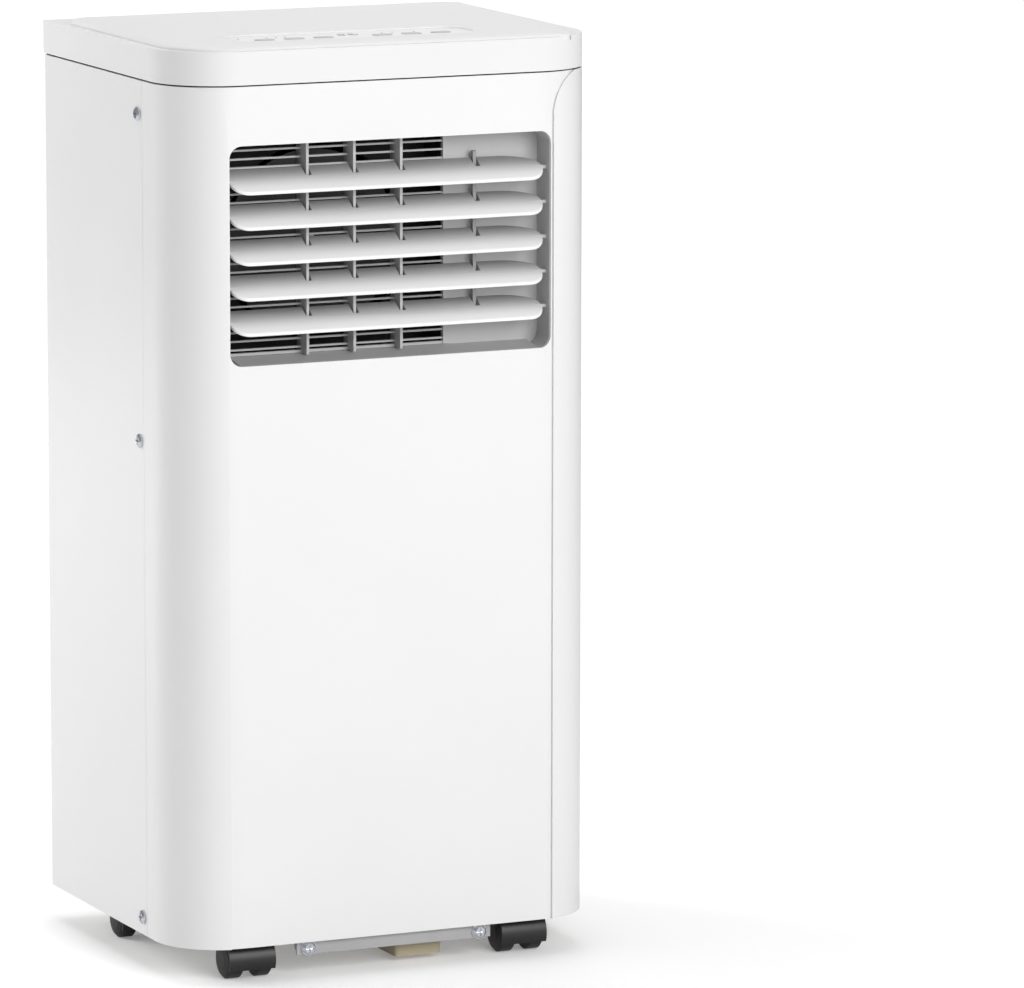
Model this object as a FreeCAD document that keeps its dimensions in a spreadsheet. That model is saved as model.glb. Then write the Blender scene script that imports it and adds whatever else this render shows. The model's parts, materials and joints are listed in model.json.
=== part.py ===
"""Portable air conditioner: a floor-standing unit on four twin-wheel casters.

The frame: +X is the unit's right-hand side seen from its front, +Y points to its back and +Z up.
The origin is on the floor, under the middle of the unit. All lengths are millimetres.
Every driving size is a cell of the sheet, and every piece is bound to those cells.
"""
import FreeCAD, Part
import math
import os
import re
import Sketcher
from FreeCAD import Placement, Rotation, Vector

SIZES = {
    "casing": {
        "width": 331, "depth": 261, "body_height": 620, "leg_height": 26, "wall": 3,
        "corner_radius": 50, "rear_radius": 4, "seam_gap": 1.2, "moulding_gap": 0.3, "fit_gap": 0.05,
        "side_seam": 66, "fascia_width": 252, "fascia_depth": 2,
        "flare_radius": 34, "flare_height": 31,
        "tab_length": 18, "tab_height": 24, "tab_thick": 4,
        "screw_setback": 7.5, "screw_low": 13, "screw_middle": 361, "screw_high": 596,
    },
    "screws": {
        "shank_radius": 2, "shank_gap": 0.3, "shank_length": 7,
        "head_radius": 5, "head_height": 2.4, "cross_length": 6, "cross_width": 1.1,
        "sunk_radius": 3.6, "sunk_height": 2,
    },
    "cap": {
        "cap_height": 25, "cap_plate": 6, "tongue_depth": 8, "tongue_thick": 2,
        "lid_left": 6, "lid_right": 22, "lid_front": 3.5, "lid_back": 32, "lid_rise": 4.5,
        "lid_sunk": 3, "lid_seat": 5, "lid_skin": 3, "lid_gap": 0.4, "lid_round": 3,
        "lid_corner_left": 46, "lid_corner_right": 9, "lid_corner_least": 2,
    },
    "control panel": {
        "panel_centre": -15, "panel_width": 184, "panel_setback": 19, "panel_depth": 46,
        "panel_sunk": 1.2, "panel_thick": 3, "panel_corner": 20, "panel_seat": 4,
        "button_line": 37.5, "button_length": 15, "button_width": 9, "button_pitch": 22.7,
        "button_proud": 0.5, "button_travel": 0.8, "button_gap": 0.25, "button_skirt": 1.2,
        "display_length": 26, "display_width": 13, "display_line": 48, "display_thick": 1.6,
        "board_drop": 12, "board_thick": 1.6, "board_margin": 14, "switch_side": 6,
        "post_radius": 2.5,
    },
    "air outlet": {
        "vent_width": 249, "vent_height": 157, "vent_drop": 42, "vent_radius": 9,
        "housing_depth": 30, "housing_wall": 2.5, "housing_flange": 8, "sill_rise": 3.4,
        "pivot_setback": 12.6, "pivot_lift": 1, "blade_pitch": 25.2, "blade_front": 13.6,
        "blade_rear": 13.2, "blade_thick": 2.7, "blade_tilt": 33, "blade_corner": 11,
        "blade_edge": 1.1, "blade_end_gap": 3.5, "pin_radius": 1.5, "pin_gap": 0.05,
        "pin_grip": 2, "rib_setback": 17.2, "rib_depth": 18, "rib_thick": 2,
        "rib_pitch": 36.3, "rib_last": 13.6, "rib_slot": 4.6, "slot_depth": 10,
        "grille_end": 54.5, "grille_frame": 4, "bar_pitch": 6.2, "bar_thick": 1.3,
        "bar_depth": 3, "link_place": 72, "link_thick": 2.6, "link_width": 4.4,
        "link_reach": 8, "link_drop": 5, "link_above": 11,
        "link_pin": 1, "link_slot": 4.4, "link_slot_depth": 10, "ear_thick": 1.6, "ear_width": 4,
    },
    "base": {
        "base_lift": 10, "base_thick": 4, "base_rim": 34, "base_wall": 3,
        "socket_radius": 10, "socket_height": 18, "lug_left": -64.5, "lug_right": 70,
        "lug_radius": 6.5, "lug_drop": 5.3, "strip_setback": 7, "strip_thick": 1.6,
        "strip_drop": 10, "strip_height": 9, "strip_end": 9, "washer_radius": 5.8,
        "washer_thick": 1,
        "sump_place": 28, "sump_width": 36, "sump_setback": 21, "sump_length": 52,
        "sump_clear": 4,
        "drain_place": 112, "drain_lift": 30, "spout_radius": 8, "spout_bore": 5.5,
        "spout_length": 21.5, "spout_sunk": 3, "spout_space": 17, "drain_clear": 5, "plug_grip": 12,
        "plug_head": 2.5,

    },
    "casters": {
        "caster_front": 107, "caster_rear": 128, "front_axle": 24.5, "rear_axle": 180.5,
        "trail": 9, "tyre_radius": 14, "tyre_width": 12, "tyre_spread": 11.5, "tyre_dome": 1.6,
        "fender_gap": 0.8, "fender_thick": 1.8, "fender_side": 0.3, "web_thick": 8,
        "axle_radius": 2, "axle_gap": 0.05, "stem_radius": 4.5, "stem_gap": 0.05,
        "stem_length": 17, "boss_radius": 7, "boss_gap": 1.5,
    },
    "rear wall": {
        "grille_width": 270, "upper_height": 205, "upper_drop": 25, "lower_height": 130,
        "lower_lift": 52, "rear_border": 5, "rear_flange": 12, "rear_depth": 7,
        "rear_sunk": 0.6, "slat_pitch": 9, "slat_thick": 2.4, "stile_pitch": 66,
        "stile_thick": 3,
        "exhaust_height": 280, "exhaust_side": 164, "exhaust_radius": 65, "exhaust_length": 20,
        "exhaust_wall": 3, "exhaust_sunk": 9, "rail_width": 7, "rail_lip": 2, "rail_plate": 3,
        "hook_height": 18,
        "guard_thick": 2, "guard_pitch": 20,
        "filter_thick": 5, "filter_back": 19, "filter_margin": 3, "filter_border": 7,
        "filter_mesh": 1.2, "filter_gap": 0.5,
        "gland_place": -132, "gland_height": 214, "gland_radius": 12, "gland_bore": 4,
        "gland_flange": 2,
    },
    "cooling": {
        "tray_height": 374, "tray_thick": 3, "tray_rim": 14,
        "coil_back": 31, "coil_thick": 26, "coil_margin": 22, "coil_low": 9, "bend_radius": 4,
        "bend_pitch": 24, "bend_out": 9,
        "compressor_place": -92, "compressor_setback": 66, "compressor_radius": 48,
        "compressor_height": 196, "dome_height": 20, "foot_reach": 55, "foot_radius": 9,
        "foot_height": 16, "foot_plate": 4, "accumulator_place": -22, "accumulator_setback": 66,
        "accumulator_radius": 20, "accumulator_height": 120, "accumulator_lift": 50,
        "pipe_radius": 4,
    },
    "fans": {
        "scroll_wall": 2.5, "scroll_depth": 88, "wheel_gap": 5, "upper_wheel": 66,
        "upper_wheel_depth": 50, "lower_wheel": 74, "lower_wheel_depth": 52,
        "lower_setback": 120, "lower_scroll_depth": 104, "blade_ring": 13, "blade_sheet": 1.6,
        "hub_radius": 12, "hub_bore": 4, "hub_gap": 0.05, "disc_thick": 3,
        "inlet_inset": 12, "motor_radius": 32, "motor_length": 36,
        "spider_thick": 3, "spider_arm": 9, "motor_gap": 4,
    },
    "electrics": {
        "box_wall": 1.5, "box_left": 62, "box_right": 148, "box_setback": 38, "box_depth": 60,
        "box_low": 420, "box_height": 150, "capacitor_radius": 18, "capacitor_length": 70,
    },
}
BLADE_COUNT = 5
RIB_COUNT = 3
FAN_BLADES = 32

FRONT = "(-depth / 2)"
REAR = "(depth / 2)"
RIGHT = "(width / 2)"
SEAM = "(-depth / 2 + side_seam)"
BODY_TOP = "(leg_height + body_height)"
CAP_TOP = "(leg_height + body_height + cap_height)"
LID_TOP = "(leg_height + body_height + cap_height + lid_rise)"
SKIN = "(wall + fascia_depth)"
VENT_TOP = "(leg_height + body_height - vent_drop)"
VENT_BOTTOM = "(leg_height + body_height - vent_drop - vent_height)"
VENT_MIDDLE = "(leg_height + body_height - vent_drop - vent_height / 2)"
PIVOT_Y = "(-depth / 2 + pivot_setback)"
BASE_BOTTOM = "(leg_height + base_lift)"
BASE_TOP = "(leg_height + base_lift + base_thick)"
TRAY_TOP = "(leg_height + tray_height + tray_thick)"
INNER_REAR = "(depth / 2 - wall)"

doc = FreeCAD.newDocument("portable_air_conditioner")
sheet = doc.addObject("Spreadsheet::Sheet", "Sheet")
NODES = []


def fill_sheet():
    """One row for each driving size: its name in column A and its value, with an alias, in B."""
    row = 1
    for group, sizes in SIZES.items():
        sheet.set(f"A{row}", group)
        row += 1
        for name, size in sizes.items():
            sheet.set(f"A{row}", name)
            sheet.set(f"B{row}", str(size))
            sheet.setAlias(f"B{row}", name)
            row += 1
    doc.recompute()


ALIASES = {name for sizes in SIZES.values() for name in sizes}
WORD = re.compile(r"[a-z][a-z_]*")


def linked(text):
    """The same expression with every size's name pointing at its cell."""
    return WORD.sub(lambda word: "Sheet." + word[0] if word[0] in ALIASES else word[0], str(text))


def value(text):
    """The number that an expression on the sheet's sizes comes to."""
    found = sheet.evalExpression(linked(text))
    return float(getattr(found, "Value", found))


def bind(thing, **sizes):
    """Binds properties of an object to expressions."""
    for name, text in sizes.items():
        thing.setExpression(name, linked(text))
    return thing


def seat(thing, x, y, z, turn=None):
    """Places an object at a bound point, turned by a fixed rotation."""
    if turn is not None:
        thing.Placement = Placement(Vector(), turn)
    for axis, place in zip("xyz", (x, y, z)):
        thing.setExpression("Placement.Base." + axis, linked(place))
    return thing


def box(name, x, y, z):
    """A block between a pair of places on each axis."""
    block = doc.addObject("Part::Box", name)
    for side, (low, high) in (("Length", x), ("Width", y), ("Height", z)):
        block.setExpression(side, linked(f"({high}) - ({low})"))
    return seat(block, x[0], y[0], z[0])


TURN_TO = {"x": Rotation(Vector(0, 1, 0), 90), "y": Rotation(Vector(1, 0, 0), -90), "z": Rotation()}


def rod(name, axis, start, length, radius):
    """A cylinder from a start point along +X, +Y or +Z."""
    round_bar = doc.addObject("Part::Cylinder", name)
    bind(round_bar, Height=length, Radius=radius)
    return seat(round_bar, *start, turn=TURN_TO[axis])


def taper(name, axis, start, length, first, last):
    """A cone frustum from a start point along +X, +Y or +Z."""
    frustum = doc.addObject("Part::Cone", name)
    bind(frustum, Height=length, Radius1=first, Radius2=last)
    return seat(frustum, *start, turn=TURN_TO[axis])


def fuse(name, *pieces):
    joined = doc.addObject("Part::MultiFuse", name)
    joined.Shapes = list(pieces)
    return joined


def group(name, *pieces):
    """Separate solids that share one node."""
    together = doc.addObject("Part::Compound", name)
    together.Links = list(pieces)
    return together


def cut(name, base, *tools):
    left = doc.addObject("Part::Cut", name)
    left.Base = base
    left.Tool = tools[0] if len(tools) == 1 else fuse(name + "_tools", *tools)
    return left


def common(name, *pieces):
    shared = doc.addObject("Part::MultiCommon", name)
    shared.Shapes = list(pieces)
    return shared


def node(label, piece):
    """Names a finished piece, so that it is written to its own file."""
    piece.Label = label
    NODES.append(piece)
    return piece


def stadium(name, x, y, z, length, width):
    """A flat bar along X with round ends, between a pair of heights."""
    half = f"(({length}) - ({width})) / 2"
    tall = f"({z[1]}) - ({z[0]})"
    ends = [rod(f"{name}_end_{side}", "z", (f"({x}) + {sign} * ({half})", y, z[0]), tall,
                f"({width}) / 2") for side, sign in (("left", -1), ("right", 1))]
    middle = box(f"{name}_middle", (f"({x}) - ({half})", f"({x}) + ({half})"),
                 (f"({y}) - ({width}) / 2", f"({y}) + ({width}) / 2"), z)
    return fuse(name, middle, *ends)


def plane(body, role):
    return next(flat for flat in body.Origin.OriginFeatures if flat.Role == role)


def polygon(body, name, role, points, lift="0"):
    """A closed sketch of straight lines whose corners are held by bound distances."""
    sketch = body.newObject("Sketcher::SketchObject", name)
    sketch.AttachmentSupport = (plane(body, role), [""])
    sketch.MapMode = "FlatFace"
    sketch.setExpression("AttachmentOffset.Base.z", linked(lift))
    spots = [Vector(value(across), value(along), 0) for across, along in points]
    for index, spot in enumerate(spots):
        sketch.addGeometry(Part.LineSegment(spot, spots[(index + 1) % len(spots)]))
    for index in range(len(spots)):
        sketch.addConstraint(Sketcher.Constraint("Coincident", index, 2, (index + 1) % len(spots), 1))
    for index, (across, along) in enumerate(points):
        for kind, axis, text in (("DistanceX", -2, across), ("DistanceY", -1, along)):
            if str(text) == "0":
                sketch.addConstraint(Sketcher.Constraint("PointOnObject", index, 1, axis))
                continue
            number = sketch.addConstraint(Sketcher.Constraint(kind, -1, 1, index, 1, value(text)))
            sketch.setExpression(f"Constraints[{number}]", linked(text))
    return sketch


def pad(body, sketch, length, both_ways=False, flip=False):
    solid = body.newObject("PartDesign::Pad", sketch.Name + "_pad")
    solid.Profile = sketch
    solid.Midplane = both_ways
    solid.Reversed = flip
    bind(solid, Length=length)
    doc.recompute()
    return solid


def round_edges(body, radius, chosen):
    """Rounds the edges of a body that a test on their two ends picks."""
    doc.recompute()
    base = body.Tip
    edges = [f"Edge{number}" for number, edge in enumerate(base.Shape.Edges, 1)
             if len(edge.Vertexes) == 2 and chosen(edge.Vertexes[0].Point, edge.Vertexes[1].Point)]
    fillet = body.newObject("PartDesign::Fillet", f"{body.Name}_round")
    fillet.Base = (base, edges)
    bind(fillet, Radius=radius)
    doc.recompute()
    return fillet


PLAN_SIDES = {"z": ("XY_Plane", 0, 1, 2), "y": ("XZ_Plane", 0, 2, 1), "x": ("YZ_Plane", 1, 2, 0)}


def rounded_block(name, x, y, z, corners, axis="z"):
    """A block whose edges along one axis are rounded.

    corners lists (sign across, sign along, radius) for each rounded edge, in the plane that
    the axis crosses: a sign of -1 is the low side and 1 the high side.
    """
    role, across, along, deep = PLAN_SIDES[axis]
    spans = (x, y, z)
    (left, right), (low, high), (near, far) = spans[across], spans[along], spans[deep]
    body = doc.addObject("PartDesign::Body", name)
    lift = f"-({far})" if axis == "y" else near
    sketch = polygon(body, name + "_outline", role,
                     [(left, low), (right, low), (right, high), (left, high)], lift)
    pad(body, sketch, f"({far}) - ({near})")
    middle_across = value(f"(({left}) + ({right})) / 2")
    middle_along = value(f"(({low}) + ({high})) / 2")
    for radius in dict.fromkeys(corner[2] for corner in corners):
        wanted = [corner[:2] for corner in corners if corner[2] == radius]

        def chosen(first, last):
            runs_deep = abs(first[deep] - last[deep]) > 0.9 * abs(value(f"({far}) - ({near})"))
            upright = abs(first[across] - last[across]) < 1e-6 and abs(first[along] - last[along]) < 1e-6
            quarter = (1 if first[across] > middle_across else -1, 1 if first[along] > middle_along else -1)
            at_corner = any(abs(first[across] - value(edge)) < 1e-6 for edge in (left, right)) and any(
                abs(first[along] - value(edge)) < 1e-6 for edge in (low, high))
            return runs_deep and upright and at_corner and quarter in wanted

        round_edges(body, radius, chosen)
    return body


def all_corners(radius):
    return [(across, along, radius) for across in (-1, 1) for along in (-1, 1)]


def plan_block(name, inset, z, front_radius):
    """The casing's own outline, moved in by an inset, between a pair of heights."""
    return rounded_block(
        name, (f"-width / 2 + {inset}", f"width / 2 - ({inset})"),
        (f"{FRONT} + {inset}", f"{REAR} - ({inset})"), z,
        [(-1, -1, front_radius), (1, -1, front_radius)])


def turned(name, axis, start, profile):
    """A solid of revolution about +X, +Y or +Z through a start point.

    profile lists (radius, place along the axis) for each corner.
    """
    body = doc.addObject("PartDesign::Body", name)
    sketch = polygon(body, name + "_profile", "XZ_Plane", profile)
    revolved = body.newObject("PartDesign::Revolution", name + "_turn")
    revolved.Profile = sketch
    revolved.ReferenceAxis = (sketch, ["V_Axis"])
    revolved.Angle = 360
    return seat(body, *start, turn=TURN_TO[axis])


def phillips_screw(name, axis, start, outward):
    """A pan-head screw whose head stands on a face at the start point.

    outward is 1 where the head is on the axis's positive side and -1 on the other.
    """
    x, y, z = start
    places = {"x": x, "y": y, "z": z}

    def along(low, high):
        ends = (low, high) if outward > 0 else (f"-({high})", f"-({low})")
        return tuple(f"({places[axis]}) + ({end})" for end in ends)

    def round_part(part, low, high, radius):
        span = along(low, high)
        start_at = [span[0] if letter == axis else places[letter] for letter in "xyz"]
        return rod(f"{name}_{part}", axis, start_at, f"({high}) - ({low})", radius)

    shank = round_part("shank", "-shank_length", "0", "shank_radius")
    rim = round_part("rim", "0", "head_height / 2", "head_radius")
    dome_span = along("head_height / 2", "head_height")
    first, last = ("head_radius", "head_radius * 0.7")
    if outward < 0:
        first, last = last, first
    dome = taper(f"{name}_dome", axis,
                 [dome_span[0] if letter == axis else places[letter] for letter in "xyz"],
                 "head_height / 2", first, last)
    slots = []
    for turn, others in enumerate((0, 1)):
        spans = {axis: along("head_height * 0.45", "head_height + 1")}
        for order, letter in enumerate(letter for letter in "xyz" if letter != axis):
            half = "cross_length / 2" if order == others else "cross_width / 2"
            spans[letter] = (f"({places[letter]}) - {half}", f"({places[letter]}) + {half}")
        slots.append(box(f"{name}_slot_{turn}", spans["x"], spans["y"], spans["z"]))
    return cut(name, fuse(name + "_solid", shank, rim, dome), *slots)


# ---------------------------------------------------------------- casing
SCREW_HEIGHTS = ("screw_low", "screw_middle", "screw_high")
SIDES = (("left", -1), ("right", 1))
SCREW_Y = f"({SEAM} + screw_setback)"


def front_shell():
    """The front moulding: rounded corner pillars either side of a sunk, flared middle panel."""
    heights = ("leg_height", BODY_TOP)
    through = ("leg_height - 1", f"{BODY_TOP} + 1")
    past_seam = f"{SEAM} + 20"
    outer = common("front_outer", plan_block("front_block", "0", heights, "corner_radius"),
                   box("front_part", ("-width", "width"), (f"{FRONT} - 1", SEAM), heights))
    inner = plan_block("front_cavity", SKIN, through, f"corner_radius - {SKIN}")
    sides = box("front_side_cavity", (f"-{RIGHT} + wall", f"{RIGHT} - wall"),
                (f"{FRONT} + corner_radius", past_seam), through)
    panel = [box("panel_middle", ("-fascia_width / 2", "fascia_width / 2"), (f"{FRONT} - 1", SEAM),
                 through)]
    for side, sign in SIDES:
        edge = f"{sign} * fascia_width / 2"
        far = f"{sign} * (fascia_width / 2 + flare_radius)"
        ends = (edge, far) if sign > 0 else (far, edge)
        block = box(f"flare_block_{side}", ends, (f"{FRONT} - 1", SEAM),
                    (f"{BODY_TOP} - flare_height", f"{BODY_TOP} + 1"))
        curve = rod(f"flare_curve_{side}", "y", (far, f"{FRONT} - 2", f"{BODY_TOP} - flare_height"),
                    "side_seam + 4", "flare_radius")
        panel.append(cut(f"flare_{side}", block, curve))
    sunk = cut("panel_sunk_space", fuse("panel_outline", *panel),
               plan_block("panel_surface", "fascia_depth", ("leg_height - 2", f"{BODY_TOP} + 2"),
                          "corner_radius - fascia_depth"))
    window = rounded_block("vent_window", ("-vent_width / 2", "vent_width / 2"),
                           (f"{FRONT} - 1", f"{FRONT} + corner_radius"), (VENT_BOTTOM, VENT_TOP),
                           all_corners("vent_radius"), axis="y")
    hollow = cut("front_hollow", outer, inner, sides, sunk, window)
    tabs = []
    holes = []
    for side, sign in SIDES:
        outside = f"{sign} * ({RIGHT} - wall - moulding_gap)"
        inside = f"{sign} * ({RIGHT} - wall - moulding_gap - tab_thick)"
        root = f"{sign} * ({RIGHT} - wall / 2)"
        for spot, height in enumerate(SCREW_HEIGHTS):
            middle = f"leg_height + {height}"
            low = f"max({middle} - tab_height / 2; leg_height + 1)"
            high = f"{middle} + tab_height / 2"
            for part, far, y in (("tab", outside, (f"{SEAM} - tab_length", f"{SEAM} + tab_length")),
                                 ("root", root, (f"{SEAM} - tab_length", f"{SEAM} - 1"))):
                x = (inside, far) if sign > 0 else (far, inside)
                tabs.append(box(f"{part}_{side}_{spot}", x, y, (low, high)))
            start = f"-{RIGHT}" if sign < 0 else f"{RIGHT} - 20"
            holes.append(rod(f"tab_hole_{side}_{spot}", "x", (start, SCREW_Y, middle), "20",
                             "shank_radius + shank_gap / 2"))
    node("front_shell", cut("front_shell", fuse("front_tabbed", hollow, *tabs), *holes))


EXHAUST_Z = "(leg_height + exhaust_height)"
UPPER_SPAN = (f"{BODY_TOP} - upper_drop - upper_height", f"{BODY_TOP} - upper_drop")
LOWER_SPAN = ("leg_height + lower_lift", "leg_height + lower_lift + lower_height")
FILTER_BACK = "(depth / 2 - filter_back)"
FILTER_FRONT = "(depth / 2 - filter_back - filter_thick)"
DRAIN_Z = "(leg_height + drain_lift)"
GLAND_Z = "(leg_height + gland_height)"
REAR_SCREW_X = "(grille_width / 2 + rear_flange / 2)"


def rear_screw_spots():
    """The rear wall's screws stand beside the corners of both grilles."""
    inset = "rear_flange"
    return [(f"{sign} * {REAR_SCREW_X}", z) for sign in (-1, 1) for low, high in (UPPER_SPAN, LOWER_SPAN)
            for z in (f"({low}) + {inset}", f"({high}) - {inset}")]


def rear_shell():
    """Both side walls and the rear wall, one moulding that closes the casing from behind."""
    heights = ("leg_height", BODY_TOP)
    through = ("leg_height - 1", f"{BODY_TOP} + 1")
    outer = rounded_block("rear_block", (f"-{RIGHT}", RIGHT), (f"{SEAM} + moulding_gap", REAR), heights,
                          [(-1, 1, "rear_radius"), (1, 1, "rear_radius")])
    cavity = box("rear_cavity", (f"-{RIGHT} + wall", f"{RIGHT} - wall"), (f"{SEAM} - 1", INNER_REAR),
                 through)
    beyond = (f"{INNER_REAR} - 1", f"{REAR} + 1")
    half = "grille_width / 2"
    cuts = [cavity]
    for name, span in (("upper", UPPER_SPAN), ("lower", LOWER_SPAN)):
        cuts.append(rounded_block(f"{name}_window", (f"-{half}", half), beyond, span,
                                  all_corners("rear_radius"), axis="y"))
    side = "exhaust_side / 2"
    cuts.append(rounded_block("exhaust_window", (f"-{side}", side), beyond,
                              (f"{EXHAUST_Z} - {side}", f"{EXHAUST_Z} + {side}"),
                              all_corners("rear_radius"), axis="y"))
    cuts.append(rod("drain_window", "y", ("drain_place", beyond[0], DRAIN_Z), "wall + 2",
                    "spout_radius + drain_clear"))
    cuts.append(rod("gland_window", "y", ("gland_place", beyond[0], GLAND_Z), "wall + 2", "gland_radius"))
    cuts.append(box("filter_window", (f"{RIGHT} - wall - 1", f"{RIGHT} + 1"),
                    (f"{FILTER_FRONT} - filter_gap", f"{FILTER_BACK} + filter_gap"),
                    (f"{UPPER_SPAN[0]} - filter_margin - filter_gap",
                     f"{UPPER_SPAN[1]} + filter_margin + filter_gap")))
    for side_name, sign in SIDES:
        start = f"-{RIGHT} - 1" if sign < 0 else f"{RIGHT} - wall - 1"
        for spot, height in enumerate(SCREW_HEIGHTS):
            cuts.append(rod(f"side_hole_{side_name}_{spot}", "x",
                            (start, SCREW_Y, f"leg_height + {height}"),
                            "wall + 2", "shank_radius + shank_gap"))
    for spot, (x, z) in enumerate(rear_screw_spots()):
        cuts.append(rod(f"rear_hole_{spot}", "y", (x, beyond[0], z), "wall + 2",
                        "shank_radius + shank_gap"))
        cuts.append(taper(f"rear_sink_{spot}", "y", (x, f"{REAR} - sunk_height - shank_gap", z),
                          "sunk_height + shank_gap + 0.001", "shank_radius + shank_gap",
                          "sunk_radius + shank_gap"))
    node("rear_shell", cut("rear_shell", outer, *cuts))


def casing_screws():
    """Six pan-head screws through the side walls and eight sunk ones through the rear wall."""
    sides = []
    for side, sign in SIDES:
        for spot, height in enumerate(SCREW_HEIGHTS):
            sides.append(phillips_screw(f"side_screw_{side}_{spot}", "x",
                                        (f"{sign} * {RIGHT}", SCREW_Y, f"leg_height + {height}"), sign))
    node("side_screws", group("side_screws", *sides))
    rears = []
    for spot, (x, z) in enumerate(rear_screw_spots()):
        name = f"rear_screw_{spot}"
        shank = rod(name + "_shank", "y", (x, f"{REAR} - shank_length", z), "shank_length - sunk_height",
                    "shank_radius")
        head = taper(name + "_head", "y", (x, f"{REAR} - sunk_height", z), "sunk_height", "shank_radius",
                     "sunk_radius")
        slots = []
        for turn, (wide, tall) in enumerate((("cross_length", "cross_width"),
                                             ("cross_width", "cross_length"))):
            slots.append(box(f"{name}_slot_{turn}", (f"({x}) - {wide} * 0.4", f"({x}) + {wide} * 0.4"),
                             (f"{REAR} - sunk_height / 2", f"{REAR} + 1"),
                             (f"({z}) - {tall} * 0.4", f"({z}) + {tall} * 0.4")))
        rears.append(cut(name, fuse(name + "_solid", shank, head), *slots))
    node("rear_screws", group("rear_screws", *rears))


# ---------------------------------------------------------------- cap
LID_X = ("(-width / 2 + lid_left)", "(width / 2 - lid_right)")
LID_Y = ("(-depth / 2 + lid_front)", "(depth / 2 - lid_back)")


def lid_block(name, inset, z):
    """The lid's outline, moved in by an inset: its front left corner follows the casing's."""
    small = f"max(lid_corner_right - ({inset}); lid_corner_least)"
    corners = [(-1, -1, f"lid_corner_left - ({inset})"), (1, -1, small), (-1, 1, small), (1, 1, small)]
    return rounded_block(name, (f"{LID_X[0]} + ({inset})", f"{LID_X[1]} - ({inset})"),
                         (f"{LID_Y[0]} + ({inset})", f"{LID_Y[1]} - ({inset})"), z, corners)


def top_ring():
    """The cap's frame: a band above the seam, a plate that seats the lid and a locating tongue."""
    bottom = f"{BODY_TOP} + seam_gap"
    band = plan_block("ring_band", "0", (bottom, CAP_TOP), "corner_radius")
    hollow = plan_block("ring_hollow", "wall", (f"{bottom} - 1", f"{CAP_TOP} - cap_plate"),
                        "corner_radius - wall")
    recess = lid_block("lid_recess", "0", (f"{CAP_TOP} - lid_sunk", f"{CAP_TOP} + 1"))
    hole = lid_block("lid_hole", "lid_seat", (f"{CAP_TOP} - cap_plate - 1", f"{CAP_TOP} + 1"))
    tongue_in = f"{SKIN} + moulding_gap"
    tongue_span = (f"{BODY_TOP} - tongue_depth", f"{CAP_TOP} - cap_plate + 1")
    tongue = cut("tongue",
                 plan_block("tongue_outside", tongue_in, tongue_span, f"corner_radius - ({tongue_in})"),
                 plan_block("tongue_inside", f"{tongue_in} + tongue_thick",
                            (f"{BODY_TOP} - tongue_depth - 1", f"{CAP_TOP} - cap_plate + 2"),
                            f"corner_radius - ({tongue_in}) - tongue_thick"))
    ring = fuse("ring_solid", cut("ring_shell", band, hollow, hole), tongue)
    node("top_ring", cut("top_ring", ring, recess, lid_block("lid_way", "lid_seat", tongue_span)))


PANEL_X = ("(panel_centre - panel_width / 2)", "(panel_centre + panel_width / 2)")
PANEL_Y = ("(-depth / 2 + panel_setback)", "(-depth / 2 + panel_setback + panel_depth)")
PANEL_TOP = "(leg_height + body_height + cap_height + lid_rise - panel_sunk)"
PANEL_BOTTOM = "(leg_height + body_height + cap_height + lid_rise - panel_sunk - panel_thick)"
BUTTON_Y = "(-depth / 2 + button_line)"
DISPLAY_Y = "(-depth / 2 + display_line)"
BOARD_TOP = "(leg_height + body_height + cap_height + lid_rise - panel_sunk - panel_thick - board_drop)"
BUTTONS = ("timer_button", "swing_button", "temperature_down_button",
           "temperature_up_button", "mode_button", "power_button")


def button_x(index):
    step = index - 2 if index > 2 else index - 3
    return f"(panel_centre + {step} * button_pitch)"


def panel_block(name, inset, z):
    return rounded_block(name, (f"{PANEL_X[0]} + ({inset})", f"{PANEL_X[1]} - ({inset})"),
                         (f"{PANEL_Y[0]} + ({inset})", f"{PANEL_Y[1]} - ({inset})"), z,
                         all_corners(f"panel_corner - ({inset})"))


def top_lid():
    """The raised lid, hollow underneath, with a stepped window for the control panel."""
    outside = lid_block("lid_block", "lid_gap", (f"{CAP_TOP} - lid_sunk", LID_TOP))
    top = value(LID_TOP)
    round_edges(outside, "lid_round", lambda first, last: min(first.z, last.z) > top - 1e-6)
    hollow = lid_block("lid_hollow", "lid_seat + lid_skin",
                       (f"{CAP_TOP} - lid_sunk - 1", f"{LID_TOP} - lid_skin"))
    rim = panel_block("panel_rim", "-panel_seat",
                      (f"{CAP_TOP} - lid_sunk - 0.5", f"{LID_TOP} - lid_skin / 2"))
    pocket = panel_block("panel_pocket", "-moulding_gap", (PANEL_BOTTOM, f"{LID_TOP} + 1"))
    way = panel_block("panel_way", "panel_seat", (f"{CAP_TOP} - lid_sunk - 1", f"{LID_TOP} + 1"))
    body = fuse("lid_solid", cut("lid_shell", outside, hollow), common("lid_rim", outside, rim))
    node("top_lid", cut("top_lid", body, pocket, way))


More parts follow.
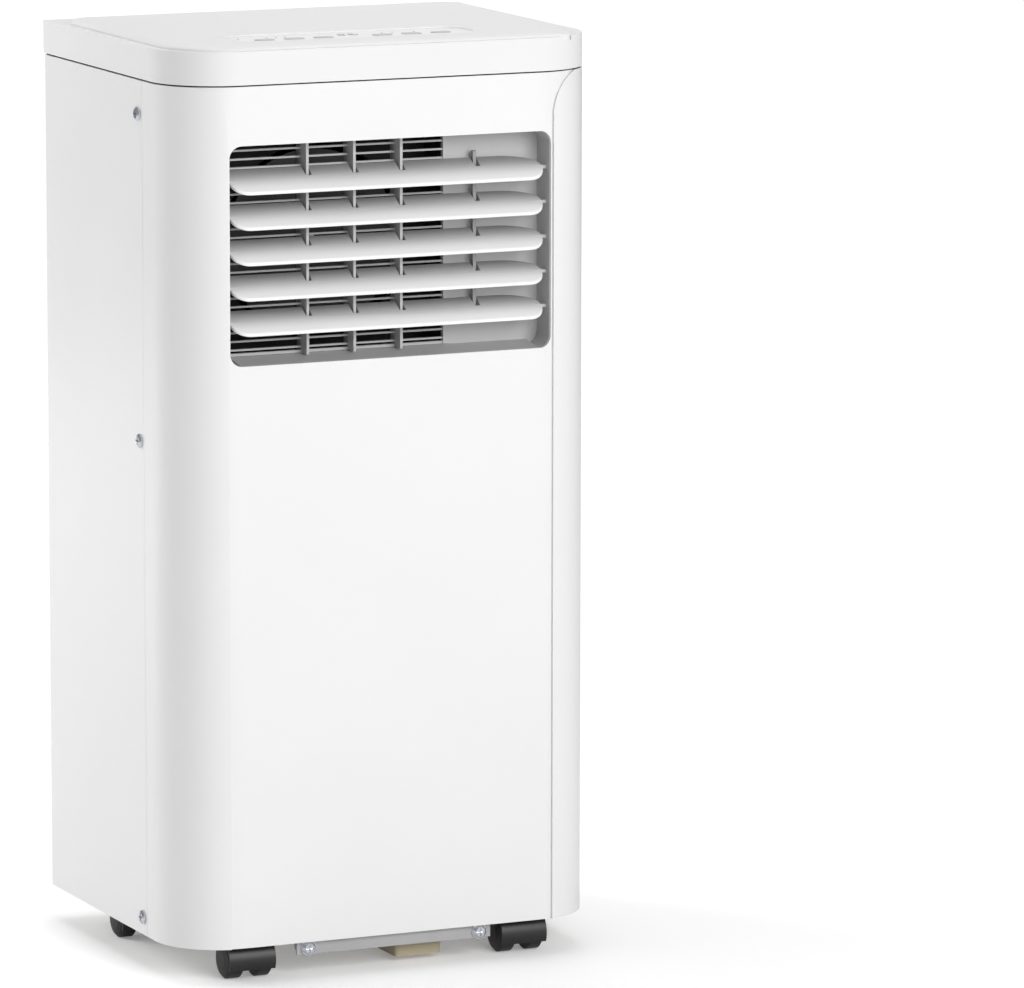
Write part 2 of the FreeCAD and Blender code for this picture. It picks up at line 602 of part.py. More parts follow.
def control_panel():
    """The sunk strip on the lid, with oval button holes and a pocket for the display's window."""
    plate = panel_block("panel_plate", "0", (PANEL_BOTTOM, PANEL_TOP))
    posts = []
    for corner, (across, along) in enumerate(((-1, -1), (1, -1), (-1, 1), (1, 1))):
        x = f"panel_centre + {across} * (panel_width / 2 - board_margin)"
        y = f"-depth / 2 + panel_setback + panel_depth / 2 + {along} * (panel_depth / 2 - board_margin)"
        posts.append(rod(f"panel_post_{corner}", "z", (x, y, BOARD_TOP), "board_drop + panel_thick / 2",
                         "post_radius"))
    cuts = []
    for index, name in enumerate(BUTTONS):
        cuts.append(stadium(f"{name}_hole", button_x(index), BUTTON_Y,
                            (f"{PANEL_BOTTOM} - 1", f"{PANEL_TOP} + 1"),
                            "button_length + 2 * button_gap", "button_width + 2 * button_gap"))
    glass = ("panel_centre - display_length / 2", "panel_centre + display_length / 2")
    cuts.append(box("display_pocket", (f"{glass[0]} - moulding_gap / 2", f"{glass[1]} + moulding_gap / 2"),
                    (f"{DISPLAY_Y} - display_width / 2 - moulding_gap / 2",
                     f"{DISPLAY_Y} + display_width / 2 + moulding_gap / 2"),
                    (f"{PANEL_TOP} - display_thick", f"{PANEL_TOP} + 1")))
    cuts.append(box("display_way", (f"{glass[0]} + 2", f"{glass[1]} - 2"),
                    (f"{DISPLAY_Y} - display_width / 2 + 2", f"{DISPLAY_Y} + display_width / 2 - 2"),
                    (f"{PANEL_BOTTOM} - 1", f"{PANEL_TOP} + 1")))
    node("control_panel", cut("control_panel", fuse("panel_posted", plate, *posts), *cuts))
    node("display_window", box("display_window", glass,
                               (f"{DISPLAY_Y} - display_width / 2", f"{DISPLAY_Y} + display_width / 2"),
                               (f"{PANEL_TOP} - display_thick", PANEL_TOP)))
    for index, name in enumerate(BUTTONS):
        x = button_x(index)
        cap = stadium(f"{name}_cap", x, BUTTON_Y, (f"{PANEL_BOTTOM} - 1.2", f"{PANEL_TOP} + button_proud"),
                      "button_length", "button_width")
        skirt = stadium(f"{name}_skirt", x, BUTTON_Y, (f"{PANEL_BOTTOM} - 1.3", f"{PANEL_BOTTOM} - 0.1"),
                        "button_length + 2 * button_skirt", "button_width + 2 * button_skirt")
        stem = rod(f"{name}_stem", "z",
                   (x, BUTTON_Y, f"{BOARD_TOP} + switch_side / 2 + button_travel + 0.2"),
                   "board_drop - switch_side / 2 - button_travel - 1", "post_radius / 1.5")
        node(name, fuse(name, cap, skirt, stem))


def control_board():
    """The circuit board under the panel, with six switches and the display's light block."""
    board = box("board", (f"{PANEL_X[0]} + board_margin / 2 + panel_seat",
                          f"{PANEL_X[1]} - board_margin / 2 - panel_seat"),
                (f"{PANEL_Y[0]} + board_margin / 2", f"{PANEL_Y[1]} - board_margin / 2"),
                (f"{BOARD_TOP} - board_thick", BOARD_TOP))
    parts = [board]
    for index in range(len(BUTTONS)):
        x = button_x(index)
        parts.append(box(f"switch_{index}", (f"{x} - switch_side / 2", f"{x} + switch_side / 2"),
                         (f"{BUTTON_Y} - switch_side / 2", f"{BUTTON_Y} + switch_side / 2"),
                         (f"{BOARD_TOP} - 0.5", f"{BOARD_TOP} + switch_side / 2")))
    parts.append(box("display_block",
                     ("panel_centre - display_length / 2 + 3", "panel_centre + display_length / 2 - 3"),
                     (f"{DISPLAY_Y} - display_width / 2 + 2.5", f"{DISPLAY_Y} + display_width / 2 - 2.5"),
                     (f"{BOARD_TOP} - 0.5", f"{PANEL_BOTTOM} - 0.5")))
    node("control_board", fuse("control_board", *parts))


# ---------------------------------------------------------------- air outlet
HALF_VENT = "(vent_width / 2)"
HOUSING_FRONT = "(-depth / 2 + wall + fascia_depth)"
HOUSING_BACK = "(-depth / 2 + housing_depth)"


def pivot_z(index):
    return f"({VENT_MIDDLE} + pivot_lift + {BLADE_COUNT // 2 - index} * blade_pitch)"


def rib_x(index):
    return f"(rib_last - {RIB_COUNT - 1 - index} * rib_pitch)"


def vent_housing():
    """The box behind the outlet's window: side walls that hold the blades' pins, and a plain
    back wall beside the grille."""
    mouth = (HOUSING_FRONT, HOUSING_BACK)
    outer = box("housing_outer", (f"-{HALF_VENT} - housing_wall", f"{HALF_VENT} + housing_wall"), mouth,
                (f"{VENT_BOTTOM} - housing_wall", f"{VENT_TOP} + housing_wall"))
    flange = box("housing_flange", (f"-{HALF_VENT} - housing_flange", f"{HALF_VENT} + housing_flange"),
                 (HOUSING_FRONT, f"{HOUSING_FRONT} + housing_wall"),
                 (f"{VENT_BOTTOM} - housing_flange", f"{VENT_TOP} + housing_flange"))
    space = rounded_block("housing_space", (f"-{HALF_VENT}", HALF_VENT),
                          (f"{HOUSING_FRONT} - 1", f"{HOUSING_BACK} - housing_wall"),
                          (VENT_BOTTOM, VENT_TOP),
                          all_corners("vent_radius"), axis="y")
    grille_way = box("grille_way", (f"-{HALF_VENT} + 0.01", "grille_end"),
                     (f"{HOUSING_BACK} - housing_wall - 1", f"{HOUSING_BACK} + 1"),
                     (f"{VENT_BOTTOM} + sill_rise", f"{VENT_TOP} - 0.5"))
    pins = rod("pin_bore_0", "x", (f"-{HALF_VENT} - pin_grip - pin_gap", PIVOT_Y, pivot_z(0)),
               "vent_width + 2 * pin_grip + 2 * pin_gap", "pin_radius + pin_gap")
    bores = [pins] + [rod(f"pin_bore_{index}", "x", (f"-{HALF_VENT} - pin_grip - pin_gap", PIVOT_Y,
                                                     pivot_z(index)),
                          "vent_width + 2 * pin_grip + 2 * pin_gap", "pin_radius + pin_gap")
                      for index in range(1, BLADE_COUNT)]
    inside = plan_block("housing_fit", f"{SKIN} + moulding_gap / 3",
                        (VENT_BOTTOM + " - 20", VENT_TOP + " + 20"),
                        f"corner_radius - {SKIN}")
    solid = common("housing_fitted", fuse("housing_solid", outer, flange), inside)
    hollow = cut("housing_hollow", solid, space, grille_way, *bores)
    sill = doc.addObject("Part::Wedge", "sill")
    bind(sill, Xmin="0", Ymin="0", Zmin="0", X2min="0", Z2min="0",
         Xmax=f"housing_depth - {SKIN} - housing_wall",
         Ymax="sill_rise", Zmax="vent_width - 2 * vent_radius", X2max="0.01",
         Z2max="vent_width - 2 * vent_radius")
    seat(sill, f"{HALF_VENT} - vent_radius", f"{HOUSING_BACK} - housing_wall", f"{VENT_BOTTOM}",
         turn=Rotation(Vector(0, -1, 0), Vector(0, 0, 1), Vector(-1, 0, 0)))
    node("vent_housing", fuse("vent_housing", hollow, sill))


def outlet_grille():
    """The fixed grille: thin level bars in a frame, with upright ribs that the blades are slotted for."""
    left = f"-{HALF_VENT} + 0.3"
    right = "grille_end - moulding_gap"
    low = f"{VENT_BOTTOM} + sill_rise + moulding_gap"
    high = f"{VENT_TOP} - 0.5 - moulding_gap"
    front = f"{HOUSING_BACK} - housing_wall"
    back = f"{front} + bar_depth"
    parts = [
        box("grille_right", (f"{right} - grille_frame", right), (f"{front} - 1", back), (low, high)),
        box("grille_left", (left, f"{left} + 2"), (front, back), (low, high)),
        box("grille_top", (left, right), (front, back), (f"{high} - 2", high)),
        box("grille_bottom", (left, right), (front, back), (low, f"{low} + 2")),
    ]
    bars = int((value(high) - value(low)) / value("bar_pitch"))
    for index in range(1, bars + 1):
        height = f"{high} - {index} * bar_pitch"
        parts.append(box(f"grille_bar_{index}", (left, right), (front, back),
                         (height, f"{height} + bar_thick")))
    for index in range(RIB_COUNT):
        x = rib_x(index)
        parts.append(box(f"grille_rib_{index}", (f"{x} - rib_thick / 2", f"{x} + rib_thick / 2"),
                         (f"{FRONT} + rib_setback", f"{FRONT} + rib_setback + rib_depth"),
                         (low, high)))
    node("outlet_grille", fuse("outlet_grille", *parts))


def louver(index):
    """One swinging blade, modelled flat about its pins' axis and then tipped forward."""
    name = f"louver_{index + 1}"
    half = f"{HALF_VENT} - blade_end_gap"
    blade = rounded_block(f"{name}_blade", (f"-({half})", half), ("-blade_front", "blade_rear"),
                          ("-blade_thick / 2", "blade_thick / 2"),
                          [(-1, -1, "blade_corner"), (1, -1, "blade_corner"),
                           (-1, 1, "blade_corner / 4"), (1, 1, "blade_corner / 4")])
    front = -value("blade_front")
    round_edges(blade, "blade_edge", lambda first, last: max(first.y, last.y) < front + 1e-6
                and abs(first.z - last.z) < 1e-6)
    slots = []
    for rib in range(RIB_COUNT):
        x = rib_x(rib)
        slots.append(box(f"{name}_slot_{rib}", (f"{x} - rib_slot / 2", f"{x} + rib_slot / 2"),
                         ("blade_rear - slot_depth", "blade_rear + 1"), ("-blade_thick", "blade_thick")))
    slots.append(box(f"{name}_link_slot", ("link_place - link_slot / 2", "link_place + link_slot / 2"),
                     ("blade_rear - link_slot_depth", "blade_rear + 1"), ("-blade_thick", "blade_thick")))
    ends = rod(f"{name}_pin", "x", (f"-{HALF_VENT} - pin_grip", "0", "0"), "vent_width + 2 * pin_grip",
               "pin_radius")
    between = box(f"{name}_between", (f"-({half}) + 1", f"{half} - 1"), ("-blade_front", "blade_rear"),
                  ("-2 * blade_thick", "2 * blade_thick"))
    link_pin = rod(f"{name}_link_pin", "x", ("link_place - link_slot / 2 - ear_thick / 2", "link_reach",
                                             "-link_drop"),
                   "link_slot + ear_thick", "link_pin")
    ears = []
    for side, inner, outer in (("left", "-link_slot / 2 - ear_thick", "-link_slot / 2"),
                               ("right", "link_slot / 2", "link_slot / 2 + ear_thick")):
        ears.append(box(f"{name}_ear_{side}", (f"link_place + {inner}", f"link_place + {outer}"),
                        ("link_reach - ear_width / 2", "link_reach + ear_width / 2"),
                        ("-link_drop - link_pin * 1.6", "0")))
    solid = fuse(name, cut(f"{name}_slotted", blade, *slots), cut(f"{name}_pins", ends, between), link_pin,
                 *ears)
    solid.Placement = Placement(Vector(), Rotation(Vector(1, 0, 0), 1))
    solid.setExpression("Placement.Rotation.Angle", linked("blade_tilt"))
    seat(solid, "0", PIVOT_Y, pivot_z(index))
    node(name, solid)


def louver_link():
    """The upright tie bar that joins the rear of all five blades, so that they swing together."""
    y = f"({PIVOT_Y} + link_reach * cos(blade_tilt) + link_drop * sin(blade_tilt))"
    rise = "(link_reach * sin(blade_tilt) - link_drop * cos(blade_tilt))"
    ends = ("link_place - link_thick / 2", "link_place + link_thick / 2")
    bar = box("link_bar", ends, (f"{y} - link_width / 2", f"{y} + link_width / 2"),
              (f"{pivot_z(BLADE_COUNT - 1)} + {rise}", f"{pivot_z(0)} + {rise} + link_above"))
    eyes = [rod(f"link_eye_{index}", "x", (ends[0], y, f"{pivot_z(index)} + {rise} + {lift}"), "link_thick",
                "link_width / 2") for index, lift in ((0, "link_above"), (BLADE_COUNT - 1, "0"))]
    holes = [rod(f"link_hole_{index}", "x", ("link_place - link_thick", y, f"{pivot_z(index)} + {rise}"),
                 "link_thick * 2", "link_pin + pin_gap") for index in range(BLADE_COUNT)]
    node("louver_link", cut("louver_link", fuse("link_solid", bar, *eyes), *holes))


# ---------------------------------------------------------------- base and casters
CASTERS = {
    "front_left": ("-caster_front", f"({FRONT} + front_axle + trail)"),
    "front_right": ("caster_front", f"({FRONT} + front_axle + trail)"),
    "rear_left": ("-caster_rear", f"({FRONT} + rear_axle + trail)"),
    "rear_right": ("caster_rear", f"({FRONT} + rear_axle + trail)"),
}
BASE_INSET = "(wall + tab_thick + 2 * moulding_gap)"
LUG_Z = "(leg_height - lug_drop)"
STRIP_FRONT = "(-depth / 2 + strip_setback)"
STRIP_BACK = "(-depth / 2 + strip_setback + strip_thick)"
SPOUT_END = "(depth / 2 - spout_sunk)"


def base_pan():
    """The moulded chassis pan that carries everything, with caster sockets and the drain spout."""
    outer = plan_block("pan_outer", BASE_INSET, (BASE_BOTTOM, f"{BASE_BOTTOM} + base_rim"),
                       f"corner_radius - {BASE_INSET}")
    inner = plan_block("pan_inner", f"{BASE_INSET} + base_wall",
                       (BASE_TOP, f"{BASE_BOTTOM} + base_rim + 1"),
                       f"corner_radius - {BASE_INSET} - base_wall")
    notch = box("spout_notch", ("drain_place - spout_space", "drain_place + spout_space"),
                (f"{SPOUT_END} - spout_length", "depth"),
                (f"{BASE_BOTTOM} - 1", f"{BASE_BOTTOM} + base_rim + 1"))
    notch_wall = box("spout_notch_wall",
                     ("drain_place - spout_space - base_wall", "drain_place + spout_space + base_wall"),
                     (f"{SPOUT_END} - spout_length - base_wall", "depth"),
                     (BASE_BOTTOM, f"{BASE_BOTTOM} + base_rim + 2"))
    sockets = [rod(f"socket_{name}", "z", (x, y, BASE_BOTTOM), "socket_height", "socket_radius")
               for name, (x, y) in CASTERS.items()]
    bores = [rod(f"socket_bore_{name}", "z", (x, y, f"{BASE_BOTTOM} - 1"), "stem_length + 2",
                 "stem_radius + stem_gap") for name, (x, y) in CASTERS.items()]
    lugs = []
    for side in ("left", "right"):
        place = f"lug_{side}"
        behind = (STRIP_BACK, f"{STRIP_BACK} + shank_length + 2")
        lugs.append(rod(f"lug_round_{side}", "y", (place, STRIP_BACK, LUG_Z), "shank_length + 2",
                        "lug_radius"))
        lugs.append(box(f"lug_web_{side}", (f"{place} - lug_radius", f"{place} + lug_radius"), behind,
                        (LUG_Z, f"{BASE_BOTTOM} + 1")))
        bores.append(rod(f"lug_bore_{side}", "y", (place, f"{STRIP_BACK} - 1", LUG_Z), "shank_length + 1.5",
                         "shank_radius + shank_gap / 2"))
    spout = rod("spout", "y", ("drain_place", f"{SPOUT_END} - spout_length - base_wall / 2", DRAIN_Z),
                "spout_length + base_wall / 2", "spout_radius")
    bores.append(rod("spout_bore", "y", ("drain_place", f"{SPOUT_END} - spout_length - base_wall - 1",
                                         DRAIN_Z),
                     "spout_length + base_wall + 2", "spout_bore"))
    dish = cut("pan_dish", outer, cut("pan_space", inner, notch_wall), notch)
    solid = fuse("pan_solid", dish, *sockets, *lugs, spout)
    node("base_pan", cut("base_pan", solid, *bores))


def front_strip():
    """The painted steel strip under the front edge, with its two washered screws."""
    low = "leg_height - strip_drop"
    span = (STRIP_FRONT, STRIP_BACK)
    plate = box("strip_plate", ("lug_left - strip_end", "lug_right + strip_end"), span,
                (low, f"{low} + strip_height"))
    lobes = [rod(f"strip_lobe_{side}", "y", (f"lug_{side}", STRIP_FRONT, LUG_Z), "strip_thick",
                 "lug_radius")
             for side in ("left", "right")]
    lip = box("strip_lip", ("lug_left + lug_radius + 1", "lug_right - lug_radius - 1"),
              (STRIP_FRONT, f"{STRIP_FRONT} + lug_radius"), (low, f"{low} + strip_thick"))
    sides = [box(f"strip_upright_{side}", (f"lug_{side} - lug_radius", f"lug_{side} + lug_radius"), span,
                 (LUG_Z, f"{BASE_BOTTOM} - moulding_gap")) for side in ("left", "right")]
    holes = [rod(f"strip_hole_{side}", "y", (f"lug_{side}", f"{STRIP_FRONT} - 1", LUG_Z), "strip_thick + 2",
                 "shank_radius + shank_gap") for side in ("left", "right")]
    node("front_strip", cut("front_strip", fuse("strip_solid", plate, lip, *lobes, *sides), *holes))
    washers = []
    screws = []
    for side in ("left", "right"):
        place = f"lug_{side}"
        washer = rod(f"washer_{side}", "y", (place, f"{STRIP_FRONT} - washer_thick", LUG_Z), "washer_thick",
                     "washer_radius")
        hole = rod(f"washer_hole_{side}", "y", (place, f"{STRIP_FRONT} - washer_thick - 1", LUG_Z),
                   "washer_thick + 2", "shank_radius + shank_gap")
        washers.append(cut(f"washer_{side}_ring", washer, hole))
        screws.append(phillips_screw(f"base_screw_{side}", "y",
                                     (place, f"{STRIP_FRONT} - washer_thick", LUG_Z), -1))
    node("base_washers", group("base_washers", *washers))
    node("base_screws", group("base_screws", *screws))


def drain_sump():
    """The moulded well under the pan that holds the last of the condensate."""
    y = (f"{FRONT} + sump_setback", f"{FRONT} + sump_setback + sump_length")
    well = rounded_block("sump_block", ("sump_place - sump_width / 2", "sump_place + sump_width / 2"), y,
                         ("sump_clear", BASE_BOTTOM), all_corners("base_wall"))
    inside = box("sump_space",
                 ("sump_place - sump_width / 2 + base_wall", "sump_place + sump_width / 2 - base_wall"),
                 (f"{y[0]} + base_wall", f"{y[1]} - base_wall"),
                 ("sump_clear + base_wall", f"{BASE_BOTTOM} + 1"))
    node("drain_sump", cut("drain_sump", well, inside))


def drain_plug():
    """The rubber plug that pulls straight out of the spout: its head is no wider than the spout."""
    grip = rod("plug_grip", "y", ("drain_place", f"{SPOUT_END} - plug_grip", DRAIN_Z), "plug_grip",
               "spout_bore - pin_gap")
    head = rod("plug_head", "y", ("drain_place", SPOUT_END, DRAIN_Z), "plug_head", "spout_radius - 0.5")
    node("drain_plug", fuse("drain_plug", grip, head))


def caster(name, place):
    """One twin-wheel caster: a hood with its stem, and the two wheels on their axle."""
    x, stem_y = place
    axle_y = f"({stem_y} - trail)"
    inner = "(tyre_radius + fender_gap)"
    outer = "(tyre_radius + fender_gap + fender_thick)"
    reach = "(tyre_spread + tyre_width / 2 + fender_side)"
    start = (f"{x} - {reach}", axle_y, "tyre_radius")
    drum = rod(f"{name}_drum", "x", start, f"2 * {reach}", outer)
    hollow = rod(f"{name}_drum_space", "x", (f"{x} - {reach} - 1", axle_y, "tyre_radius"),
                 f"2 * {reach} + 2", inner)
    window = box(f"{name}_drum_half", (f"{x} - {reach} - 1", f"{x} + {reach} + 1"),
                 (f"{axle_y} - {outer} - 1", f"{axle_y} + {outer} + 1"),
                 ("tyre_radius * 0.55", f"tyre_radius + {outer} + 1"))
    behind = box(f"{name}_open_back", (f"{x} - {reach} - 2", f"{x} + {reach} + 2"),
                 (f"{axle_y} + tyre_radius * 0.75", f"{axle_y} + {outer} + 2"), ("0", "tyre_radius * 1.6"))
    fender = cut(f"{name}_fender", common(f"{name}_drum_part", cut(f"{name}_shell", drum, hollow), window),
                 behind)
    web = common(f"{name}_web", rod(f"{name}_web_disc", "x", (f"{x} - web_thick / 2", axle_y,
                                                              "tyre_radius"),
                                    "web_thick", f"tyre_radius + fender_gap + fender_thick / 2"),
                 box(f"{name}_web_part", (f"{x} - web_thick", f"{x} + web_thick"),
                     (f"{axle_y} - 2 * tyre_radius", f"{axle_y} + 2 * tyre_radius"),
                     ("tyre_radius * 0.55", f"tyre_radius + {outer} + 1")))
    boss_low = "(tyre_radius * 2 + fender_gap)"
    stem_low = "(tyre_radius * 1.6)"
    boss = rod(f"{name}_boss", "z", (x, stem_y, boss_low), f"{BASE_BOTTOM} - boss_gap - {boss_low}",
               "boss_radius")
    stem = rod(f"{name}_stem", "z", (x, stem_y, stem_low), f"{BASE_BOTTOM} + stem_length - {stem_low}",
               "stem_radius")
    bore = rod(f"{name}_axle_bore", "x", (f"{x} - web_thick", axle_y, "tyre_radius"), "web_thick * 2",
               "axle_radius + axle_gap")
    node(f"caster_hood_{name}", cut(f"caster_hood_{name}", fuse(f"{name}_hood", fender, web, boss, stem),
                                    bore))
    wheel = [("0", "tyre_spread - tyre_width / 2"), ("tyre_radius - 1", "tyre_spread - tyre_width / 2"),
             ("tyre_radius", "tyre_spread - tyre_width / 2 + 1"),
             ("tyre_radius", "tyre_spread + tyre_width / 2 - 2"),
             ("tyre_radius - 2.2", "tyre_spread + tyre_width / 2"),
             ("tyre_radius * 0.5", "tyre_spread + tyre_width / 2 + tyre_dome * 0.8"),
             ("0", "tyre_spread + tyre_width / 2 + tyre_dome")]
    right = turned(f"{name}_right_wheel", "x", (x, axle_y, "tyre_radius"), wheel)
    left = turned(f"{name}_left_wheel", "x", (x, axle_y, "tyre_radius"),
                  [(radius, f"-({along})") for radius, along in reversed(wheel)])
    axle = rod(f"{name}_axle", "x", (f"{x} - tyre_spread", axle_y, "tyre_radius"), "2 * tyre_spread",
               "axle_radius")
    node(f"caster_wheels_{name}", fuse(f"caster_wheels_{name}", right, left, axle))


# ---------------------------------------------------------------- rear wall
def rear_grille(name, span):
    """A slatted grille clamped behind its window, its face just under the rear wall's."""
    low, high = span
    face = f"{REAR} - rear_sunk"
    half = "grille_width / 2"
    frame = rounded_block(f"{name}_frame", (f"-{half} + moulding_gap", f"{half} - moulding_gap"),
                          (f"{REAR} - rear_depth", face),
                          (f"{low} + moulding_gap", f"{high} - moulding_gap"),
                          all_corners("rear_radius - moulding_gap"), axis="y")
    border = "rear_border + moulding_gap"
    opening = box(f"{name}_opening", (f"-{half} + {border}", f"{half} - ({border})"),
                  (f"{REAR} - rear_depth - 4", f"{REAR} + 1"),
                  (f"{low} + {border}", f"{high} - ({border})"))
    flange = box(f"{name}_flange", (f"-{half} - rear_flange", f"{half} + rear_flange"),
                 (f"{REAR} - rear_depth", f"{INNER_REAR} - fit_gap"),
                 (f"{low} - rear_flange / 2", f"{high} + rear_flange / 2"))
    parts = [cut(f"{name}_rim", fuse(f"{name}_plate", frame, flange), opening)]
    slats = int((value(high) - value(low)) / value("slat_pitch"))
    for index in range(1, slats):
        z = f"{high} - {index} * slat_pitch"
        parts.append(box(f"{name}_slat_{index}", (f"-{half} + 2", f"{half} - 2"),
                         (f"{REAR} - rear_depth", face),
                         (f"{z} - slat_thick / 2", f"{z} + slat_thick / 2")))
    stiles = int(value("grille_width") / value("stile_pitch") / 2)
    for index in range(-stiles, stiles + 1):
        x = f"{index} * stile_pitch"
        parts.append(box(f"{name}_stile_{index + stiles}",
                         (f"{x} - stile_thick / 2", f"{x} + stile_thick / 2"),
                         (f"{REAR} - rear_depth", f"{face} - 1"), (f"{low} + 2", f"{high} - 2")))
    holes = [rod(f"{name}_screw_{spot}", "y", (x, f"{REAR} - rear_depth - 1", z), "rear_depth",
                 "shank_radius + shank_gap / 2") for spot, (x, z) in enumerate(rear_screw_spots())]
    node(name, cut(name, fuse(f"{name}_solid", *parts), *holes))


def intake_filter():
    """The dust filter, a framed mesh that draws out through the right-hand wall by its grip."""
    low = f"{UPPER_SPAN[0]} - filter_margin"
    high = f"{UPPER_SPAN[1]} + filter_margin"
    left = "-grille_width / 2 - filter_margin"
    y = (FILTER_FRONT, FILTER_BACK)
    frame = box("filter_frame", (left, RIGHT), y, (low, high))
    spaces = []
    cells = 4
    start, end = f"({left} + filter_border)", f"({RIGHT} - wall - filter_border * 2)"
    for index in range(cells):
        step = f"(({end}) - ({start})) / {cells}"
        spaces.append(box(f"filter_cell_{index}",
                          (f"{start} + {index} * {step} + filter_border / 4",
                           f"{start} + {index + 1} * {step} - filter_border / 4"),
                          (f"{y[0]} - 1", f"{y[1]} + 1"),
                          (f"{low} + filter_border", f"{high} - filter_border")))
    mesh = box("filter_mesh", (f"{left} + filter_border / 2", end),
               (f"{y[0]} + filter_thick / 2 - filter_mesh / 2",
                f"{y[0]} + filter_thick / 2 + filter_mesh / 2"),
               (f"{low} + filter_border / 2", f"{high} - filter_border / 2"))
    middle = f"({low}) / 2 + ({high}) / 2"
    thumb = rod("filter_thumb", "x", (f"{RIGHT} - 1.5", f"{FILTER_FRONT} + filter_thick / 2", middle), "3",
                "filter_thick / 3")
    node("intake_filter", cut("intake_filter", fuse("filter_meshed", cut("filter_cells", frame, *spaces),
                                                    mesh),
                              thumb))


def exhaust_outlet():
    """The hot-air outlet: a round collar in a sunk plate, between rails that take a hose adapter."""
    side = "exhaust_side / 2"
    face = f"({REAR} - exhaust_sunk)"
    back = f"({face} - rail_plate)"
    plate = box("exhaust_plate", (f"-{side} + moulding_gap", f"{side} - moulding_gap"), (back, face),
                (f"{EXHAUST_Z} - {side} + moulding_gap", f"{EXHAUST_Z} + {side} - moulding_gap"))
    flange = box("exhaust_flange", (f"-{side} - rail_width", f"{side} + rail_width"),
                 (back, f"{INNER_REAR} - fit_gap"),
                 (f"{EXHAUST_Z} - {side} - rail_width", f"{EXHAUST_Z} + {side} + rail_width"))
    pocket = box("exhaust_pocket", (f"-{side} + rail_width / 2", f"{side} - rail_width / 2"),
                 (face, f"{REAR} + 1"),
                 (f"{EXHAUST_Z} - {side} + rail_width / 2", f"{EXHAUST_Z} + {side} - moulding_gap"))
    rails = [box(f"exhaust_rail_{name}", x, (face, f"{REAR} - 1"), z) for name, x, z in (
        ("left", (f"-{side} + moulding_gap", f"-{side} + rail_width / 2"),
         (f"{EXHAUST_Z} - {side} + moulding_gap", f"{EXHAUST_Z} + {side} - moulding_gap")),
        ("right", (f"{side} - rail_width / 2", f"{side} - moulding_gap"),
         (f"{EXHAUST_Z} - {side} + moulding_gap", f"{EXHAUST_Z} + {side} - moulding_gap")),
        ("bottom", (f"-{side} + moulding_gap", f"{side} - moulding_gap"),
         (f"{EXHAUST_Z} - {side} + moulding_gap", f"{EXHAUST_Z} - {side} + rail_width / 2")))]
    lips = [box(f"exhaust_lip_{name}", x, (f"{REAR} - 1 - rail_lip", f"{REAR} - 1"),
                (f"{EXHAUST_Z} - {side} + moulding_gap", f"{EXHAUST_Z} - {side} + hook_height")) for name,
                x in (
        ("left", (f"-{side} + moulding_gap", f"-{side} + rail_width")),
        ("right", (f"{side} - rail_width", f"{side} - moulding_gap")))]
    collar = rod("exhaust_collar", "y", ("0", f"{face} - exhaust_length", EXHAUST_Z), "exhaust_length",
                 "exhaust_radius + exhaust_wall")
    bore = rod("exhaust_bore", "y", ("0", f"{face} - exhaust_length - 1", EXHAUST_Z),
               "exhaust_length + exhaust_sunk + 2",
               "exhaust_radius")
    fitted = common("exhaust_fitted", fuse("exhaust_front", plate, *rails, *lips),
                    rounded_block("exhaust_fit", (f"-{side} + moulding_gap", f"{side} - moulding_gap"),
                                  (f"{back} - 1", f"{REAR} + 1"),
                                  (f"{EXHAUST_Z} - {side} + moulding_gap",
                                   f"{EXHAUST_Z} + {side} - moulding_gap"),
                                  all_corners("rear_radius"), axis="y"))
    open_flange = cut("exhaust_open_flange", flange, pocket)
    hollow = cut("exhaust_hollow", fuse("exhaust_solid", fitted, open_flange, collar), bore)
    behind = (f"{face} - exhaust_length - guard_thick", f"{face} - exhaust_length")
    wires = []
    wire_count = int(value("exhaust_radius") / value("guard_pitch"))
    for index in range(-wire_count, wire_count + 1):
        z = f"{EXHAUST_Z} + {index} * guard_pitch"
        half = f"sqrt((exhaust_radius + exhaust_wall)^2 - ({index} * guard_pitch)^2) - 0.2"
        wires.append(box(f"guard_wire_{index + wire_count}", (f"-({half})", half), behind,
                         (f"{z} - guard_thick / 2", f"{z} + guard_thick / 2")))
    ring = cut("guard_ring", rod("guard_outer", "y", ("0", behind[0], EXHAUST_Z), "guard_thick",
                                 "exhaust_radius + exhaust_wall"),
               rod("guard_inner", "y", ("0", f"{behind[0]} - 1", EXHAUST_Z), "guard_thick + 2",
                   "exhaust_radius + exhaust_wall / 2"))
    node("exhaust_outlet", fuse("exhaust_outlet", hollow, ring, *wires))


def cord_gland():
    """The bush that the mains lead would pass through."""
    neck = rod("gland_neck", "y", ("gland_place", f"{INNER_REAR} - 4", GLAND_Z), "wall + 4 - 0.5",
               "gland_radius - moulding_gap")
    collar = rod("gland_collar", "y", ("gland_place", f"{INNER_REAR} - 4", GLAND_Z), "gland_flange",
                 "gland_radius + 3")
    bore = rod("gland_bore", "y", ("gland_place", f"{INNER_REAR} - 6", GLAND_Z), "wall + 8", "gland_bore")
    node("cord_gland", cut("cord_gland", fuse("gland_solid", neck, collar), bore))


# ---------------------------------------------------------------- refrigeration
LOWER_FRONT = "(-depth / 2 + lower_setback)"
COIL_Y = ("(depth / 2 - coil_back - coil_thick)", "(depth / 2 - coil_back)")


